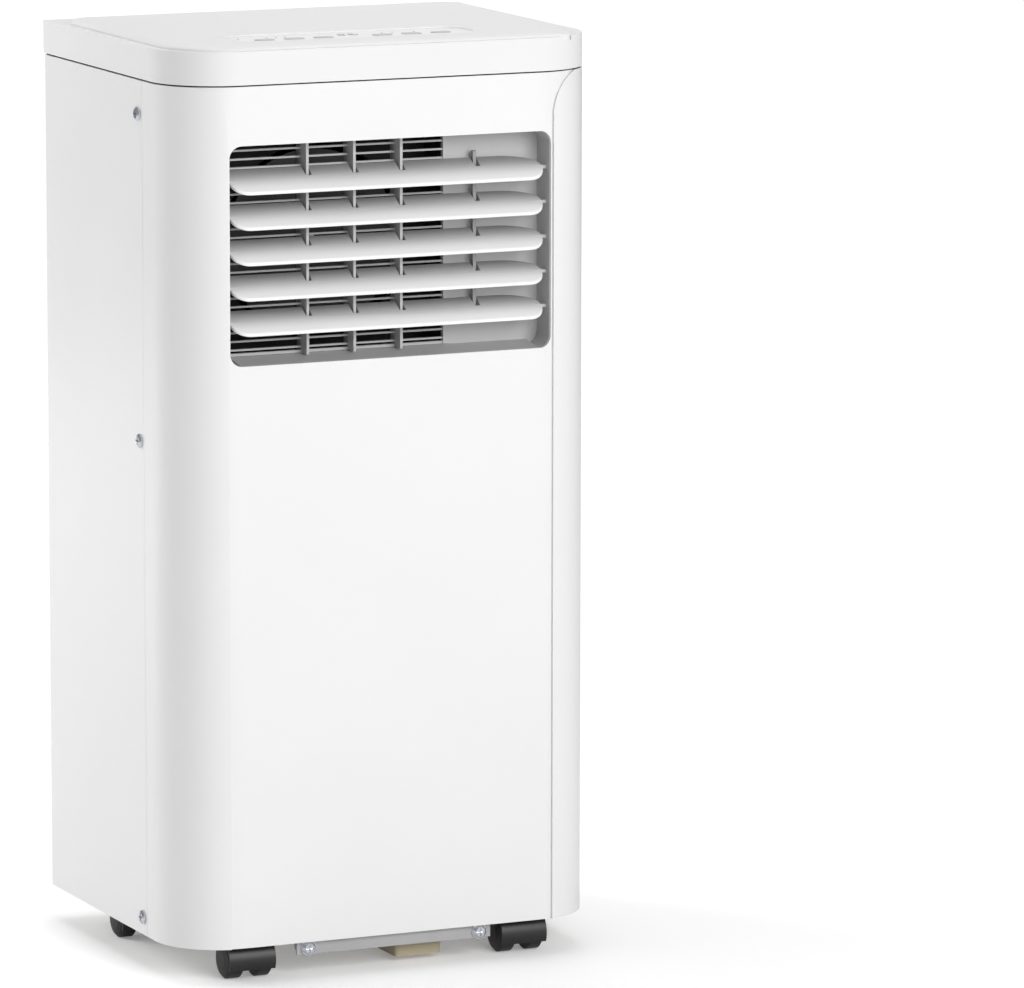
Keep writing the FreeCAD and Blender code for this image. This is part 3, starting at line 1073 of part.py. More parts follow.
def drip_tray():
    """The shelf between the two halves of the unit, which also catches the upper coil's water."""
    outer = plan_block("tray_outer", BASE_INSET, ("leg_height + tray_height", f"{TRAY_TOP} + tray_rim"),
                       f"corner_radius - {BASE_INSET}")
    inner = plan_block("tray_inner", f"{BASE_INSET} + tray_thick", (TRAY_TOP, f"{TRAY_TOP} + tray_rim + 1"),
                       f"corner_radius - {BASE_INSET} - tray_thick")
    spout = rod("tray_drain", "z", ("drain_place", f"{COIL_Y[0]} + coil_thick / 2",
                                    "leg_height + tray_height - 1"),
                "tray_thick + 2", "pipe_radius")
    notch = box("tray_notch", ("-width", "width"), (f"{FILTER_FRONT} - 2", "depth"),
                (f"{TRAY_TOP}", f"{TRAY_TOP} + tray_rim + 1"))
    node("drip_tray", cut("drip_tray", outer, inner, spout, notch))


def coil(name, low, high):
    """A finned coil: the fin block with its hairpin bends standing out at both ends."""
    half = f"({RIGHT} - coil_margin - wall)"
    block = box(f"{name}_fins", (f"-{half}", half), COIL_Y, (low, high))
    bends = []
    count = int((value(high) - value(low)) / value("bend_pitch") - 0.5)
    for index in range(count):
        z = f"{low} + bend_pitch * {index + 0.5}"
        for row, y in (("front", f"{COIL_Y[0]} + coil_thick / 4"),
                       ("back", f"{COIL_Y[1]} - coil_thick / 4")):
            bends.append(rod(f"{name}_tube_{row}_{index}", "x", (f"-{half} - bend_out", y, z),
                             f"2 * ({half} + bend_out)", "bend_radius"))
        for side, x in (("left", f"-{half} - bend_out"), ("right", f"{half} + bend_out")):
            bends.append(rod(f"{name}_bend_{side}_{index}", "y",
                             (x, f"{COIL_Y[0]} + coil_thick / 4", z), "coil_thick / 2", "bend_radius"))
    node(name, fuse(name, block, *bends))


COMPRESSOR = ("compressor_place", f"({FRONT} + compressor_setback)")
COMPRESSOR_LOW = "(leg_height + base_lift + base_thick + foot_height)"
ACCUMULATOR = ("accumulator_place", f"({FRONT} + accumulator_setback)")


def compressor():
    """The rotary compressor: a welded can with domed ends on a three-footed plate."""
    top = "compressor_height"
    profile = [("0", "0"), ("compressor_radius * 0.7", "0"), ("compressor_radius", "dome_height"),
               ("compressor_radius", f"{top} - dome_height"),
               ("compressor_radius * 0.85", f"{top} - dome_height / 3"),
               ("compressor_radius * 0.5", top), ("0", top)]
    x, y = COMPRESSOR
    can = turned("compressor_can", "z", (x, y, COMPRESSOR_LOW), profile)
    arms = []
    holes = []
    for index in range(3):
        turn = 90 + 120 * index
        foot_x = f"({x} + foot_reach * cos({turn}))"
        foot_y = f"({y} + foot_reach * sin({turn}))"
        arms.append(rod(f"foot_eye_{index}", "z", (foot_x, foot_y, COMPRESSOR_LOW), "foot_plate",
                        "foot_radius"))
        arm = doc.addObject("Part::Box", f"foot_arm_{index}")
        bind(arm, Length="foot_reach", Width="foot_radius * 2", Height="foot_plate")
        turned_by = Rotation(Vector(0, 0, 1), turn)
        offset = turned_by.multVec(Vector(0, -1, 0))
        seat(arm, f"{x} + foot_radius * {offset.x:.6f}", f"{y} + foot_radius * {offset.y:.6f}",
             COMPRESSOR_LOW,
             turn=turned_by)
        arms.append(arm)
        holes.append(rod(f"foot_hole_{index}", "z", (foot_x, foot_y, f"{COMPRESSOR_LOW} - 1"),
                         "foot_plate + 2",
                         "foot_radius / 2 + shank_gap"))
    node("compressor", cut("compressor", fuse("compressor_solid", can, *arms), *holes))
    rubbers = []
    for index in range(3):
        turn = 90 + 120 * index
        place = (f"({x} + foot_reach * cos({turn}))", f"({y} + foot_reach * sin({turn}))", BASE_TOP)
        tall = "foot_height"
        rubbers.append(fuse(f"rubber_{index}", rod(f"rubber_low_{index}", "z", place, tall, "foot_radius"),
                            rod(f"rubber_neck_{index}", "z", place, f"{tall} + foot_plate + 3",
                                "foot_radius / 2")))
    node("compressor_mounts", group("compressor_mounts", *rubbers))


def accumulator():
    """The suction accumulator, a slim can on a bracket beside the compressor."""
    x, y = ACCUMULATOR
    low = f"({COMPRESSOR_LOW} + accumulator_lift)"
    can = turned("accumulator_can", "z", (x, y, low),
                 [("0", "0"), ("accumulator_radius * 0.5", "0"),
                  ("accumulator_radius", "accumulator_radius * 0.6"),
                  ("accumulator_radius", "accumulator_height - accumulator_radius * 0.6"),
                  ("accumulator_radius * 0.5", "accumulator_height"), ("0", "accumulator_height")])
    bracket = box("accumulator_bracket", (f"{COMPRESSOR[0]} + compressor_radius + 0.02", x),
                  (f"{y} - foot_plate / 2", f"{y} + foot_plate / 2"), (f"{low} + 40", f"{low} + 52"))
    node("accumulator", fuse("accumulator", can, bracket))


def pipe(label, points):
    """A copper tube along straight runs joined by tangent bends; points are triples of expressions."""
    spots = [Vector(*(value(place) for place in point)) for point in points]
    radius = value("pipe_radius")
    bend = 2.5 * radius
    edges = []
    start = spots[0]
    for before, corner, after in zip(spots, spots[1:], spots[2:]):
        inward = (before - corner).normalize()
        outward = (after - corner).normalize()
        half = inward.getAngle(outward) / 2
        back_off = bend / math.tan(half)
        first = corner + inward * back_off
        last = corner + outward * back_off
        centre = corner + (inward + outward).normalize() * (bend / math.sin(half))
        middle = centre + (corner - centre).normalize() * bend
        edges.append(Part.LineSegment(start, first).toShape())
        edges.append(Part.Arc(first, middle, last).toShape())
        start = last
    edges.append(Part.LineSegment(start, spots[-1]).toShape())
    path = Part.Wire(edges)
    ring = Part.Wire(Part.Circle(spots[0], spots[1] - spots[0], radius).toShape())
    tube = doc.addObject("Part::Feature", label)
    tube.Shape = path.makePipeShell([ring], True, False)
    node(label, tube)


def pipework():
    """The hot discharge line to the lower coil and the cold suction line down from the upper one."""
    x, y = COMPRESSOR
    top = f"{COMPRESSOR_LOW} + compressor_height"
    gap = "0.05"
    rise = "28"
    left = f"(-{RIGHT} + wall + 14)"
    coil_front = f"{COIL_Y[0]} - {gap}"
    pipe("discharge_pipe", [(x, y, f"{top} + {gap}"), (x, y, f"{top} + {rise}"),
                            (x, f"{FRONT} + lower_setback + 14", f"{top} + {rise}"),
                            (f"{left} + 14", f"{FRONT} + lower_setback + 14", f"{top} + {rise}"),
                            (f"{left} + 14", f"{FRONT} + lower_setback + 14", f"{LOWER_SPAN[1]} - 8"),
                            (f"{left} + 14", coil_front, f"{LOWER_SPAN[1]} - 8")])
    ax, ay = ACCUMULATOR
    cold_top = f"{COMPRESSOR_LOW} + accumulator_lift + accumulator_height + {gap}"
    pipe("suction_pipe", [(ax, ay, cold_top), (ax, ay, f"leg_height + tray_height - 22"),
                          (f"{RIGHT} - wall - 24", ay, f"leg_height + tray_height - 22"),
                          (f"{RIGHT} - wall - 24", f"{LOWER_FRONT} - 4", f"leg_height + tray_height - 22"),
                          (f"{RIGHT} - wall - 24", f"{LOWER_FRONT} - 4",
                           f"leg_height + tray_height - {gap}")])


# ---------------------------------------------------------------- fans
UPPER_FAN_X = "((grille_end - vent_width / 2) / 2)"
LOWER_FAN_Z = EXHAUST_Z
UPPER_SCROLL_FRONT = f"({HOUSING_BACK} + bar_depth + rib_depth / 4)"
UPPER_SCROLL_BACK = f"({UPPER_SCROLL_FRONT} + scroll_depth)"
LOWER_SCROLL_BACK = "(depth / 2 - exhaust_sunk - exhaust_length - guard_thick - moulding_gap)"
LOWER_SCROLL_FRONT = f"({LOWER_SCROLL_BACK} - lower_scroll_depth)"


def fan_wheel(name, axis_x, axis_z, back, depth, radius, disc_at_front):
    """A centrifugal wheel about +Y: a disc and hub, a ring of canted blades and a rim ring."""
    body = doc.addObject("PartDesign::Body", name)
    inner = f"({radius} - blade_ring)"
    disc = polygon(body, name + "_disc", "XZ_Plane",
                   [("hub_bore + hub_gap", "0"), (radius, "0"), (radius, "disc_thick"),
                    ("hub_radius", "disc_thick"), ("hub_radius", "disc_thick * 4"),
                    ("hub_bore + hub_gap", "disc_thick * 4")])
    spun = body.newObject("PartDesign::Revolution", name + "_disc_turn")
    spun.Profile = disc
    spun.ReferenceAxis = (disc, ["V_Axis"])
    spun.Angle = 360
    rim = polygon(body, name + "_rim", "XZ_Plane",
                  [(inner, f"{depth} - disc_thick"), (radius, f"{depth} - disc_thick"), (radius, depth),
                   (inner, depth)])
    blade = polygon(body, name + "_blade", "XY_Plane",
                    [(f"{inner} + 1", "0"), (f"{radius} - 1", "blade_ring / 3"),
                     (f"{radius} - 1", "blade_ring / 3 + blade_sheet"), (f"{inner} + 1", "blade_sheet")],
                    "disc_thick / 2")
    sheet_blade = pad(body, blade, f"{depth} - disc_thick")
    ring = body.newObject("PartDesign::PolarPattern", name + "_blades")
    ring.Originals = [sheet_blade]
    ring.Axis = (blade, ["N_Axis"])
    ring.Angle = 360
    ring.Occurrences = FAN_BLADES
    body.Tip = ring
    doc.recompute()
    top = body.newObject("PartDesign::Revolution", name + "_rim_turn")
    top.Profile = rim
    top.ReferenceAxis = (rim, ["V_Axis"])
    top.Angle = 360
    turn = Rotation(Vector(1, 0, 0), -90)
    start = back
    if not disc_at_front:
        turn = Rotation(Vector(1, 0, 0), 90)
        start = f"{back} + ({depth})"
    return node(name, seat(body, axis_x, start, axis_z, turn=turn))


def scroll(name, x, y, z, axis_x, axis_z, radius, front_opening, rear_opening):
    """A fan's casing: a boxed drum that the wheel turns in, open on its two stated sides."""
    outer = box(f"{name}_outer", x, y, z)
    drum = rod(f"{name}_drum", "y", (axis_x, f"{y[0]} + scroll_wall", axis_z),
               f"({y[1]}) - ({y[0]}) - 2 * scroll_wall", f"{radius} + wheel_gap")
    node(name, cut(name, outer, drum, front_opening, rear_opening))


SPIDER_ARMS = 3


def motor(name, axis_x, axis_z, face, shaft_end, toward_back, wheel_radius, scroll_face):
    """A fan motor on a spider: its shaft runs along Y into the wheel's hub."""
    if toward_back:
        can_low = f"({face}) - motor_length"
        shaft = (f"({face}) - 1", f"({shaft_end}) - ({face}) + 1")
        neck = (f"({face}) - 1", f"({scroll_face}) - fit_gap - ({face}) + 1")
        arm_y = f"({scroll_face}) - spider_thick - fit_gap"
    else:
        can_low = face
        shaft = (shaft_end, f"({face}) - ({shaft_end}) + 1")
        neck = (f"({scroll_face}) + fit_gap", f"({face}) - ({scroll_face}) - fit_gap + 1")
        arm_y = f"({scroll_face}) + fit_gap"
    parts = [rod(f"{name}_can", "y", (axis_x, can_low, axis_z), "motor_length", "motor_radius"),
             rod(f"{name}_shaft", "y", (axis_x, shaft[0], axis_z), shaft[1], "hub_bore")]
    for index in range(SPIDER_ARMS):
        turn = 90 + 360 / SPIDER_ARMS * index
        arm = doc.addObject("Part::Box", f"{name}_arm_{index}")
        bind(arm, Length=f"{wheel_radius} - inlet_inset / 2 + spider_arm", Width="spider_thick",
             Height="spider_arm")
        turned_by = Rotation(Vector(0, 1, 0), turn)
        offset = turned_by.multVec(Vector(0, 0, -1))
        seat(arm, f"{axis_x} + spider_arm / 2 * {offset.x:.6f}", arm_y,
             f"{axis_z} + spider_arm / 2 * {offset.z:.6f}", turn=turned_by)
        parts.append(arm)
    parts.append(rod(f"{name}_neck", "y", (axis_x, neck[0], axis_z), neck[1], "hub_radius"))
    node(name, fuse(name, *parts))


def upper_fan():
    """The room-air fan: it draws through the upper coil and blows out of the front grille."""
    y = (UPPER_SCROLL_FRONT, UPPER_SCROLL_BACK)
    x = (f"-{HALF_VENT}", "grille_end")
    z = (VENT_BOTTOM, VENT_TOP)
    outlet = box("upper_outlet", (f"{x[0]} + scroll_wall", f"{x[1]} - scroll_wall"),
                 (f"{y[0]} - 1", f"{y[0]} + scroll_depth * 0.3"),
                 (f"{z[0]} + scroll_wall", f"{z[1]} - scroll_wall"))
    inlet = rod("upper_inlet", "y", (UPPER_FAN_X, f"{y[1]} - scroll_wall - 1", VENT_MIDDLE),
                "scroll_wall + 2",
                "upper_wheel - inlet_inset")
    scroll("upper_scroll", x, y, z, UPPER_FAN_X, VENT_MIDDLE, "upper_wheel", outlet, inlet)
    wheel_back = f"({y[1]} - scroll_wall - wheel_gap)"
    wheel_front = f"({wheel_back} - upper_wheel_depth)"
    fan_wheel("upper_fan_wheel", UPPER_FAN_X, VENT_MIDDLE, wheel_front, "upper_wheel_depth", "upper_wheel",
              True)
    motor("upper_fan_motor", UPPER_FAN_X, VENT_MIDDLE, f"{y[1]} + motor_gap", f"{wheel_front} + 1", False,
          "upper_wheel", y[1])


def lower_fan():
    """The outside-air fan: it draws through the lower coil and blows out of the rear outlet."""
    y = (LOWER_SCROLL_FRONT, LOWER_SCROLL_BACK)
    half = "(lower_wheel + wheel_gap + scroll_wall)"
    x = (f"-{half}", half)
    z = (f"{LOWER_FAN_Z} - {half}", f"{LOWER_FAN_Z} + {half}")
    outlet = rod("lower_outlet", "y", ("0", f"{y[1]} - scroll_wall - 1", LOWER_FAN_Z), "scroll_wall + 2",
                 "exhaust_radius")
    inlet = rod("lower_inlet", "y", ("0", f"{y[0]} - 1", LOWER_FAN_Z), "scroll_wall + 2",
                "lower_wheel - inlet_inset")
    scroll("lower_scroll", x, y, z, "0", LOWER_FAN_Z, "lower_wheel", inlet, outlet)
    wheel_front = f"({y[0]} + scroll_wall + wheel_gap)"
    fan_wheel("lower_fan_wheel", "0", LOWER_FAN_Z, wheel_front, "lower_wheel_depth", "lower_wheel", False)
    motor("lower_fan_motor", "0", LOWER_FAN_Z, f"{y[0]} - motor_gap",
          f"{wheel_front} + lower_wheel_depth - 1",
          True, "lower_wheel", y[0])


# ---------------------------------------------------------------- electrics
def electrics():
    """The steel control box beside the upper fan, and the compressor's run capacitor in it."""
    y = (f"{FRONT} + box_setback", f"{FRONT} + box_setback + box_depth")
    z = ("box_low", "box_low + box_height")
    outer = box("control_box_outer", ("box_left", "box_right"), y, z)
    inner = box("control_box_inner", ("box_left + box_wall", "box_right - box_wall"),
                (f"{y[0]} - 1", f"{y[1]} - box_wall"), (f"{z[0]} + box_wall", f"{z[1]} - box_wall"))
    node("control_box", cut("control_box", outer, inner))
    middle = "box_left / 2 + box_right / 2"
    node("capacitor", rod("capacitor", "z", (middle, f"{y[1]} - box_wall - capacitor_radius - 1",
                                             f"{z[0]} + box_wall"),
                          "capacitor_length", "capacitor_radius"))


def check_document():
    """Stops the build where any object failed or any finished piece is empty or invalid."""
    doc.recompute()
    for thing in doc.Objects:
        if {"Invalid", "Error"} & set(thing.State):
            raise RuntimeError(f"{thing.Name} ({thing.Label}) failed: {thing.State}")
    for piece in NODES:
        if piece.Shape.isNull() or not piece.Shape.isValid() or not piece.Shape.Solids:
            raise RuntimeError(f"{piece.Label} has no valid solid")


def write_parts():
    os.makedirs("parts", exist_ok=True)
    for piece in NODES:
        piece.Shape.exportStep(f"parts/{piece.Label}.step")
        print(f"{piece.Label:28s} {len(piece.Shape.Solids)} solids {piece.Shape.Volume / 1000:9.2f} cm3")


fill_sheet()
front_shell()
rear_shell()
casing_screws()
top_ring()
top_lid()
control_panel()
control_board()
vent_housing()
outlet_grille()
for blade_number in range(BLADE_COUNT):
    louver(blade_number)
louver_link()
base_pan()
front_strip()
drain_sump()
drain_plug()
for caster_name, caster_place in CASTERS.items():
    caster(caster_name, caster_place)
rear_grille("upper_rear_grille", UPPER_SPAN)
rear_grille("lower_rear_grille", LOWER_SPAN)
intake_filter()
exhaust_outlet()
cord_gland()
drip_tray()
coil("evaporator_coil", f"{TRAY_TOP} + coil_low", f"{UPPER_SPAN[1]} - 6")
coil("condenser_coil", f"{BASE_TOP} + coil_low", f"{LOWER_SPAN[1]} + 6")
compressor()
accumulator()
pipework()
upper_fan()
lower_fan()
electrics()
check_document()
write_parts()
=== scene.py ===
# %% [markdown]
# # A portable air conditioner
# The measured model of this unit is already made: a white moulded casing on four casters, with an air
# outlet and its louvers in front, a cap with a control strip on top, and a coil, fan and hose collar
# behind. This notebook gives that model its looks. It loads the model, sets up a small studio, writes
# one finish for each material, and builds the few shapes that a smooth surface shows better than a
# machined solid does.

# %% Load the measured model
import json
import math
import bmesh
import bpy
import numpy as np
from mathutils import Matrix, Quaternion, Vector


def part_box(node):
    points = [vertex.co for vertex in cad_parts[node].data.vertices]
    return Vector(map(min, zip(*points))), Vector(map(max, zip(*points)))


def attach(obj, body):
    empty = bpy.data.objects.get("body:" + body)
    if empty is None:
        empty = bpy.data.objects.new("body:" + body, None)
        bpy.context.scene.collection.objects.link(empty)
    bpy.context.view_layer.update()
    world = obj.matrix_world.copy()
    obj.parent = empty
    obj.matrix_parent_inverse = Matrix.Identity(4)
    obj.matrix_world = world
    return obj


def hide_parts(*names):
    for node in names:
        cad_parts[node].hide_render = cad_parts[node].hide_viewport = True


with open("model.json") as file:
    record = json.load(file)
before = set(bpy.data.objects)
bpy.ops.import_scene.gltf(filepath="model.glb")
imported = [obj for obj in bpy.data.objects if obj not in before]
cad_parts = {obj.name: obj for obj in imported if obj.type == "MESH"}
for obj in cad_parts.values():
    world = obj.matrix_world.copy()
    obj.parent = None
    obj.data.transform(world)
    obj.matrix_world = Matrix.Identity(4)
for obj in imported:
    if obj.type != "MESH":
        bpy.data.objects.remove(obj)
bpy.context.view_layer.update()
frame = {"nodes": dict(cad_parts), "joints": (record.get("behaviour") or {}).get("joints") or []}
NODES = frame["nodes"]

# %% [markdown]
# ## The camera
# A product picture is taken from far away with a long lens, so that upright edges stay nearly parallel.
# The camera stands five metres off, a little to the left and above, and its lens is set by the angle
# that the whole unit fills. The turn about the view line is tiny, but straight edges show it.

# %% Camera
CAMERA_PLACE = (-2.1197, -5.0193, 1.2345)
CAMERA_AZIMUTH, CAMERA_ELEVATION, CAMERA_ROLL = -24.35, 9.44, 0.078
SENSOR, LENS = 36.0, 265.4296875


def turned_to(azimuth, elevation, roll):
    """The turn of a camera: its back looks along (sin a cos e, -cos a cos e, sin e), then it rolls."""
    a, e = math.radians(azimuth), math.radians(elevation)
    back = Vector((math.sin(a) * math.cos(e), -math.cos(a) * math.cos(e), math.sin(e)))
    return Quaternion(back, math.radians(roll)) @ (-back).to_track_quat("-Z", "Y")


camera = bpy.data.objects.new("camera", bpy.data.cameras.new("camera"))
bpy.context.scene.collection.objects.link(camera)
camera.location = CAMERA_PLACE
camera.rotation_mode = "QUATERNION"
camera.rotation_quaternion = turned_to(CAMERA_AZIMUTH, CAMERA_ELEVATION, CAMERA_ROLL)
camera.data.sensor_width = SENSOR
camera.data.lens = LENS
camera.data.clip_end = 100
bpy.context.scene.camera = camera
print("lens:", round(camera.data.lens, 1), "mm")

# %% [markdown]
# ## Light
# White plastic on a white floor shows its shape only by small steps of grey, so where the light comes
# from matters more than how strong it is. A wide panel in front and to the right makes the face the
# brightest. A second one behind and to the left lights the side wall and leaves the round corner between
# them in half shade; it's kept out of reflections, where it would show as a bright patch. A weak one lights
# the back, and one overhead the lid. The sky is weak and even, and is itself seen as plain white paper.

# %% Lights
def panel_light(name, place, target, size, power):
    """A flat lamp, `size` wide and high in metres, facing the target."""
    lamp = bpy.data.lights.new(name, "AREA")
    lamp.shape = "RECTANGLE"
    lamp.size, lamp.size_y = size
    lamp.energy = power
    holder = bpy.data.objects.new(name, lamp)
    bpy.context.scene.collection.objects.link(holder)
    holder.location = place
    holder.rotation_mode = "QUATERNION"
    holder.rotation_quaternion = (Vector(target) - Vector(place)).to_track_quat("-Z", "Y")
    print(name, "at", place, power, "W")
    return holder


MIDDLE = (0, 0, 0.35)
WIDE, SIDE_SIZE, BACK_SIZE, TOP_SIZE = (2.0, 1.8), (1.5, 1.7), (2.0, 2.0), (1.8, 1.8)
panel_light("front_panel", (0.55, -3.1, 1.5), MIDDLE, WIDE, 78)
side = panel_light("side_panel", (-1.95, 2.05, 1.1), MIDDLE, SIDE_SIZE, 62)
side.visible_glossy = False
panel_light("back_panel", (1.8, 2.6, 1.8), MIDDLE, BACK_SIZE, 12)
panel_light("top_panel", (0.0, 0.6, 2.6), MIDDLE, TOP_SIZE, 20)

SKY, BACKDROP = 0.30, 1.05
world = bpy.data.worlds.new("studio")
world.use_nodes = True
tree = world.node_tree
sky, backdrop = tree.nodes["Background"], tree.nodes.new("ShaderNodeBackground")
sky.inputs["Strength"].default_value, backdrop.inputs["Strength"].default_value = SKY, BACKDROP
for shade in (sky, backdrop):
    shade.inputs["Color"].default_value = (1.0, 1.0, 1.0, 1)
seen, either = tree.nodes.new("ShaderNodeLightPath"), tree.nodes.new("ShaderNodeMixShader")
tree.links.new(seen.outputs["Is Camera Ray"], either.inputs["Fac"])
tree.links.new(sky.outputs["Background"], either.inputs[1])
tree.links.new(backdrop.outputs["Background"], either.inputs[2])
tree.links.new(either.outputs["Shader"], tree.nodes["World Output"].inputs["Surface"])
bpy.context.scene.world = world
bpy.context.scene.view_settings.view_transform = "Standard"

# %% [markdown]
# ## Writing a finish
# A finish is a small net of nodes. Sums written with nodes are hard to read, so a socket is wrapped in a
# class that knows plus, minus and times: `grain * 0.2 + 0.4` then adds its own nodes. Every other
# node comes from one method, which sets the node's choices first and fills its sockets afterwards.

# %% A socket that can be written in sums
class Wire:
    """An output socket. Adding or multiplying it by a number or another Wire adds a Math node."""

    def __init__(self, finish, socket):
        self.finish, self.socket = finish, socket

    def sum(self, operation, first, second):
        return self.finish.node("Math", {"operation": operation}, {0: first, 1: second})

    def __add__(self, other):
        return self.sum("ADD", self, other)

    def __radd__(self, other):
        return self.sum("ADD", other, self)

    def __sub__(self, other):
        return self.sum("SUBTRACT", self, other)

    def __rsub__(self, other):
        return self.sum("SUBTRACT", other, self)

    def __mul__(self, other):
        return self.sum("MULTIPLY", self, other)

    def __rmul__(self, other):
        return self.sum("MULTIPLY", other, self)


class Finish:
    """A material being written. Its nodes read the piece's own place in metres, from `place`."""

    def __init__(self, name):
        self.material = bpy.data.materials.new(name)
        self.material.use_nodes = True
        self.tree = self.material.node_tree
        self.tree.nodes.clear()
        self.place = self.node("TexCoord", out="Object")

    def node(self, kind, settings=None, sockets=None, out=0):
        """Adds a node of that kind and gives its output `out`: choices first, then values and links."""
        made = self.tree.nodes.new("ShaderNode" + kind)
        for key, value in (settings or {}).items():
            if key == "stops":
                ramp = made.color_ramp
                while len(ramp.elements) < len(value):
                    ramp.elements.new(1)
                for element, (position, colour) in zip(ramp.elements, value):
                    element.position, element.color = position, (*colour, 1)
            else:
                setattr(made, key, value)
        for key, value in (sockets or {}).items():
            if isinstance(value, Wire):
                self.tree.links.new(value.socket, made.inputs[key])
            else:
                made.inputs[key].default_value = value
        return Wire(self, made.outputs[out])

    def noise(self, per_metre, detail=2):
        """Cloudy noise about 0.5, with that many lumps in a metre."""
        return self.node("TexNoise", None, {"Vector": self.place, "Scale": per_metre, "Detail": detail})

    def shift(self, amount, low, high):
        """A colour between low and high, by an amount from 0 to 1."""
        ends = {"Factor": amount, 6: (*low, 1), 7: (*high, 1)}
        return self.node("Mix", {"data_type": "RGBA"}, ends, out=2)

    def bump(self, height, distance, strength=1.0, under=None):
        """A normal tilted by a height from 0 to 1 that stands for a relief of `distance` metres."""
        sockets = {"Height": height, "Distance": distance, "Strength": strength}
        if under:
            sockets["Normal"] = under
        return self.node("Bump", None, sockets)

    def surface(self, **sockets):
        """Ends the material in one Principled shader. Names have _ for a space: Base_Color=..."""
        named = {key.replace("_", " "): value for key, value in sockets.items()}
        shader = self.node("BsdfPrincipled", None, named)
        end = self.tree.nodes.new("ShaderNodeOutputMaterial")
        self.tree.links.new(shader.socket, end.inputs["Surface"])
        return self.material


print("the finish helpers are ready")

# %% [markdown]
# ## Moulded plastic
# The casing is injection moulded. Its mould is polished for the body, so that the surface is smooth with
# the faint waviness of a thick moulding, and spark-eroded for the cap and the inside, which leaves a fine
# grain. One function makes them all: a fine grain and a slow wave tilt the normal, and the gloss drifts
# a little from place to place as handling leaves it. The louvers also grow darker from front to rear,
# which stands for the shade deep in the outlet. That shade is painted on: it depends on y alone.

# %% Moulded plastic
def moulded(name, colour, rough, grain=1400, depth=0.00001, wave=0.00003, tint=0.02, coat=0.0,
            deep=None):
    """Plastic of that colour. Height is fine noise times depth plus slow noise times wave, in metres.

    With deep = (near, far, share), the colour falls smoothly to its share between those two y places.
    """
    f = Finish(name)
    fine = f.noise(grain, detail=3)
    slow = f.noise(22, detail=1)
    drift = f.noise(9, detail=4)
    normal = f.bump(fine, depth, under=f.bump(slow, wave))
    paler = tuple(min(1.0, c * (1 + tint)) for c in colour)
    darker = tuple(c * (1 - tint) for c in colour)
    shade = f.shift(drift, darker, paler)
    if deep:
        near, far, share = deep
        depths = f.node("SeparateXYZ", None, {"Vector": f.place}, out="Y")
        inward = f.node("MapRange", {"interpolation_type": "SMOOTHSTEP"}, {
            "Value": depths, "From Min": near, "From Max": far})
        shade = f.node("Mix", {"data_type": "RGBA"}, {
            "Factor": inward, 6: shade, 7: (*[c * share for c in colour], 1)}, out=2)
    return f.surface(
        Base_Color=shade, Roughness=rough - 0.06 + 0.12 * drift,
        Normal=normal, IOR=1.5, Coat_Weight=coat, Coat_Roughness=0.12)


SHELL = moulded("polished_white_shell", (0.80, 0.80, 0.80), 0.34, depth=0.000004, coat=0.25)
CAP = moulded("grained_white_cap", (0.77, 0.77, 0.77), 0.55, depth=0.00002)
STRIP = moulded("control_strip_white", (0.80, 0.80, 0.80), 0.42, depth=0.000006)
BUTTON = moulded("soft_grey_button", (0.52, 0.52, 0.53), 0.5, depth=0.00001)
LOUVER = moulded("satin_louver", (0.86, 0.86, 0.86), 0.42, depth=0.000008, deep=(-0.127, -0.108, 0.30))
OUTLET = moulded("grey_outlet", (0.47, 0.47, 0.47), 0.5, depth=0.000015)
BASE = moulded("natural_base", (0.60, 0.59, 0.56), 0.5, depth=0.00002)
SUMP = moulded("beige_sump", (0.44, 0.38, 0.26), 0.5, depth=0.00002)
CASTER = moulded("black_nylon", (0.012, 0.012, 0.013), 0.4, depth=0.00002)
RUBBER = moulded("black_rubber", (0.018, 0.018, 0.018), 0.75, depth=0.00004)
FAN = moulded("black_fan", (0.02, 0.02, 0.022), 0.5, depth=0.00001)
# Black foam for the scrolls; the same dark finish also makes the painted shade band in the cap's seam.
FOAM_AND_SEAM_SHADE = moulded("black_scroll_and_seam_shade", (0.010, 0.010, 0.011), 0.85, grain=500, depth=0.0002)
FILTER = moulded("filter_frame", (0.10, 0.11, 0.125), 0.55)
INK = moulded("grey_ink", (0.13, 0.13, 0.135), 0.5)
print("plastics made")

# %% [markdown]
# ## Metal, paint and board
# The screws are zinc plated, the strip under the front is powder coated, the pipes are drawn copper that
# has begun to brown, and the coil is bare aluminium. The compressor is dipped in thick black enamel,
# which settles in soft lumps like orange peel. The circuit board shows its tracks through green lacquer.

# %% Metals, enamel and board
def metal(name, bright, dull, rough, lumps=160, fine=1800, depth=0.00001):
    """Bare metal: its colour drifts from bright to dull in lumps, and duller places are rougher."""
    f = Finish(name)
    age = f.noise(lumps, detail=5)
    tarnish = f.node("ValToRGB", {"stops": [(0.35, (0, 0, 0)), (0.75, (1, 1, 1))]}, {"Fac": age})
    return f.surface(
        Base_Color=f.shift(tarnish, bright, dull), Metallic=1.0,
        Roughness=rough + 0.18 * tarnish, Normal=f.bump(f.noise(fine), depth))


def enamel(name, colour, rough, peel=240, depth=0.0001):
    """Paint that settled in lumps: slow noise tilts the normal, fine noise roughens it."""
    f = Finish(name)
    lumps = f.noise(peel, detail=1)
    paler = tuple(c * 1.25 + 0.01 for c in colour)
    return f.surface(
        Base_Color=f.shift(f.noise(30, detail=4), colour, paler), Roughness=rough + 0.1 * lumps,
        Normal=f.bump(f.noise(1500), 0.000006, under=f.bump(lumps, depth)),
        Coat_Weight=0.3, Coat_Roughness=0.2)


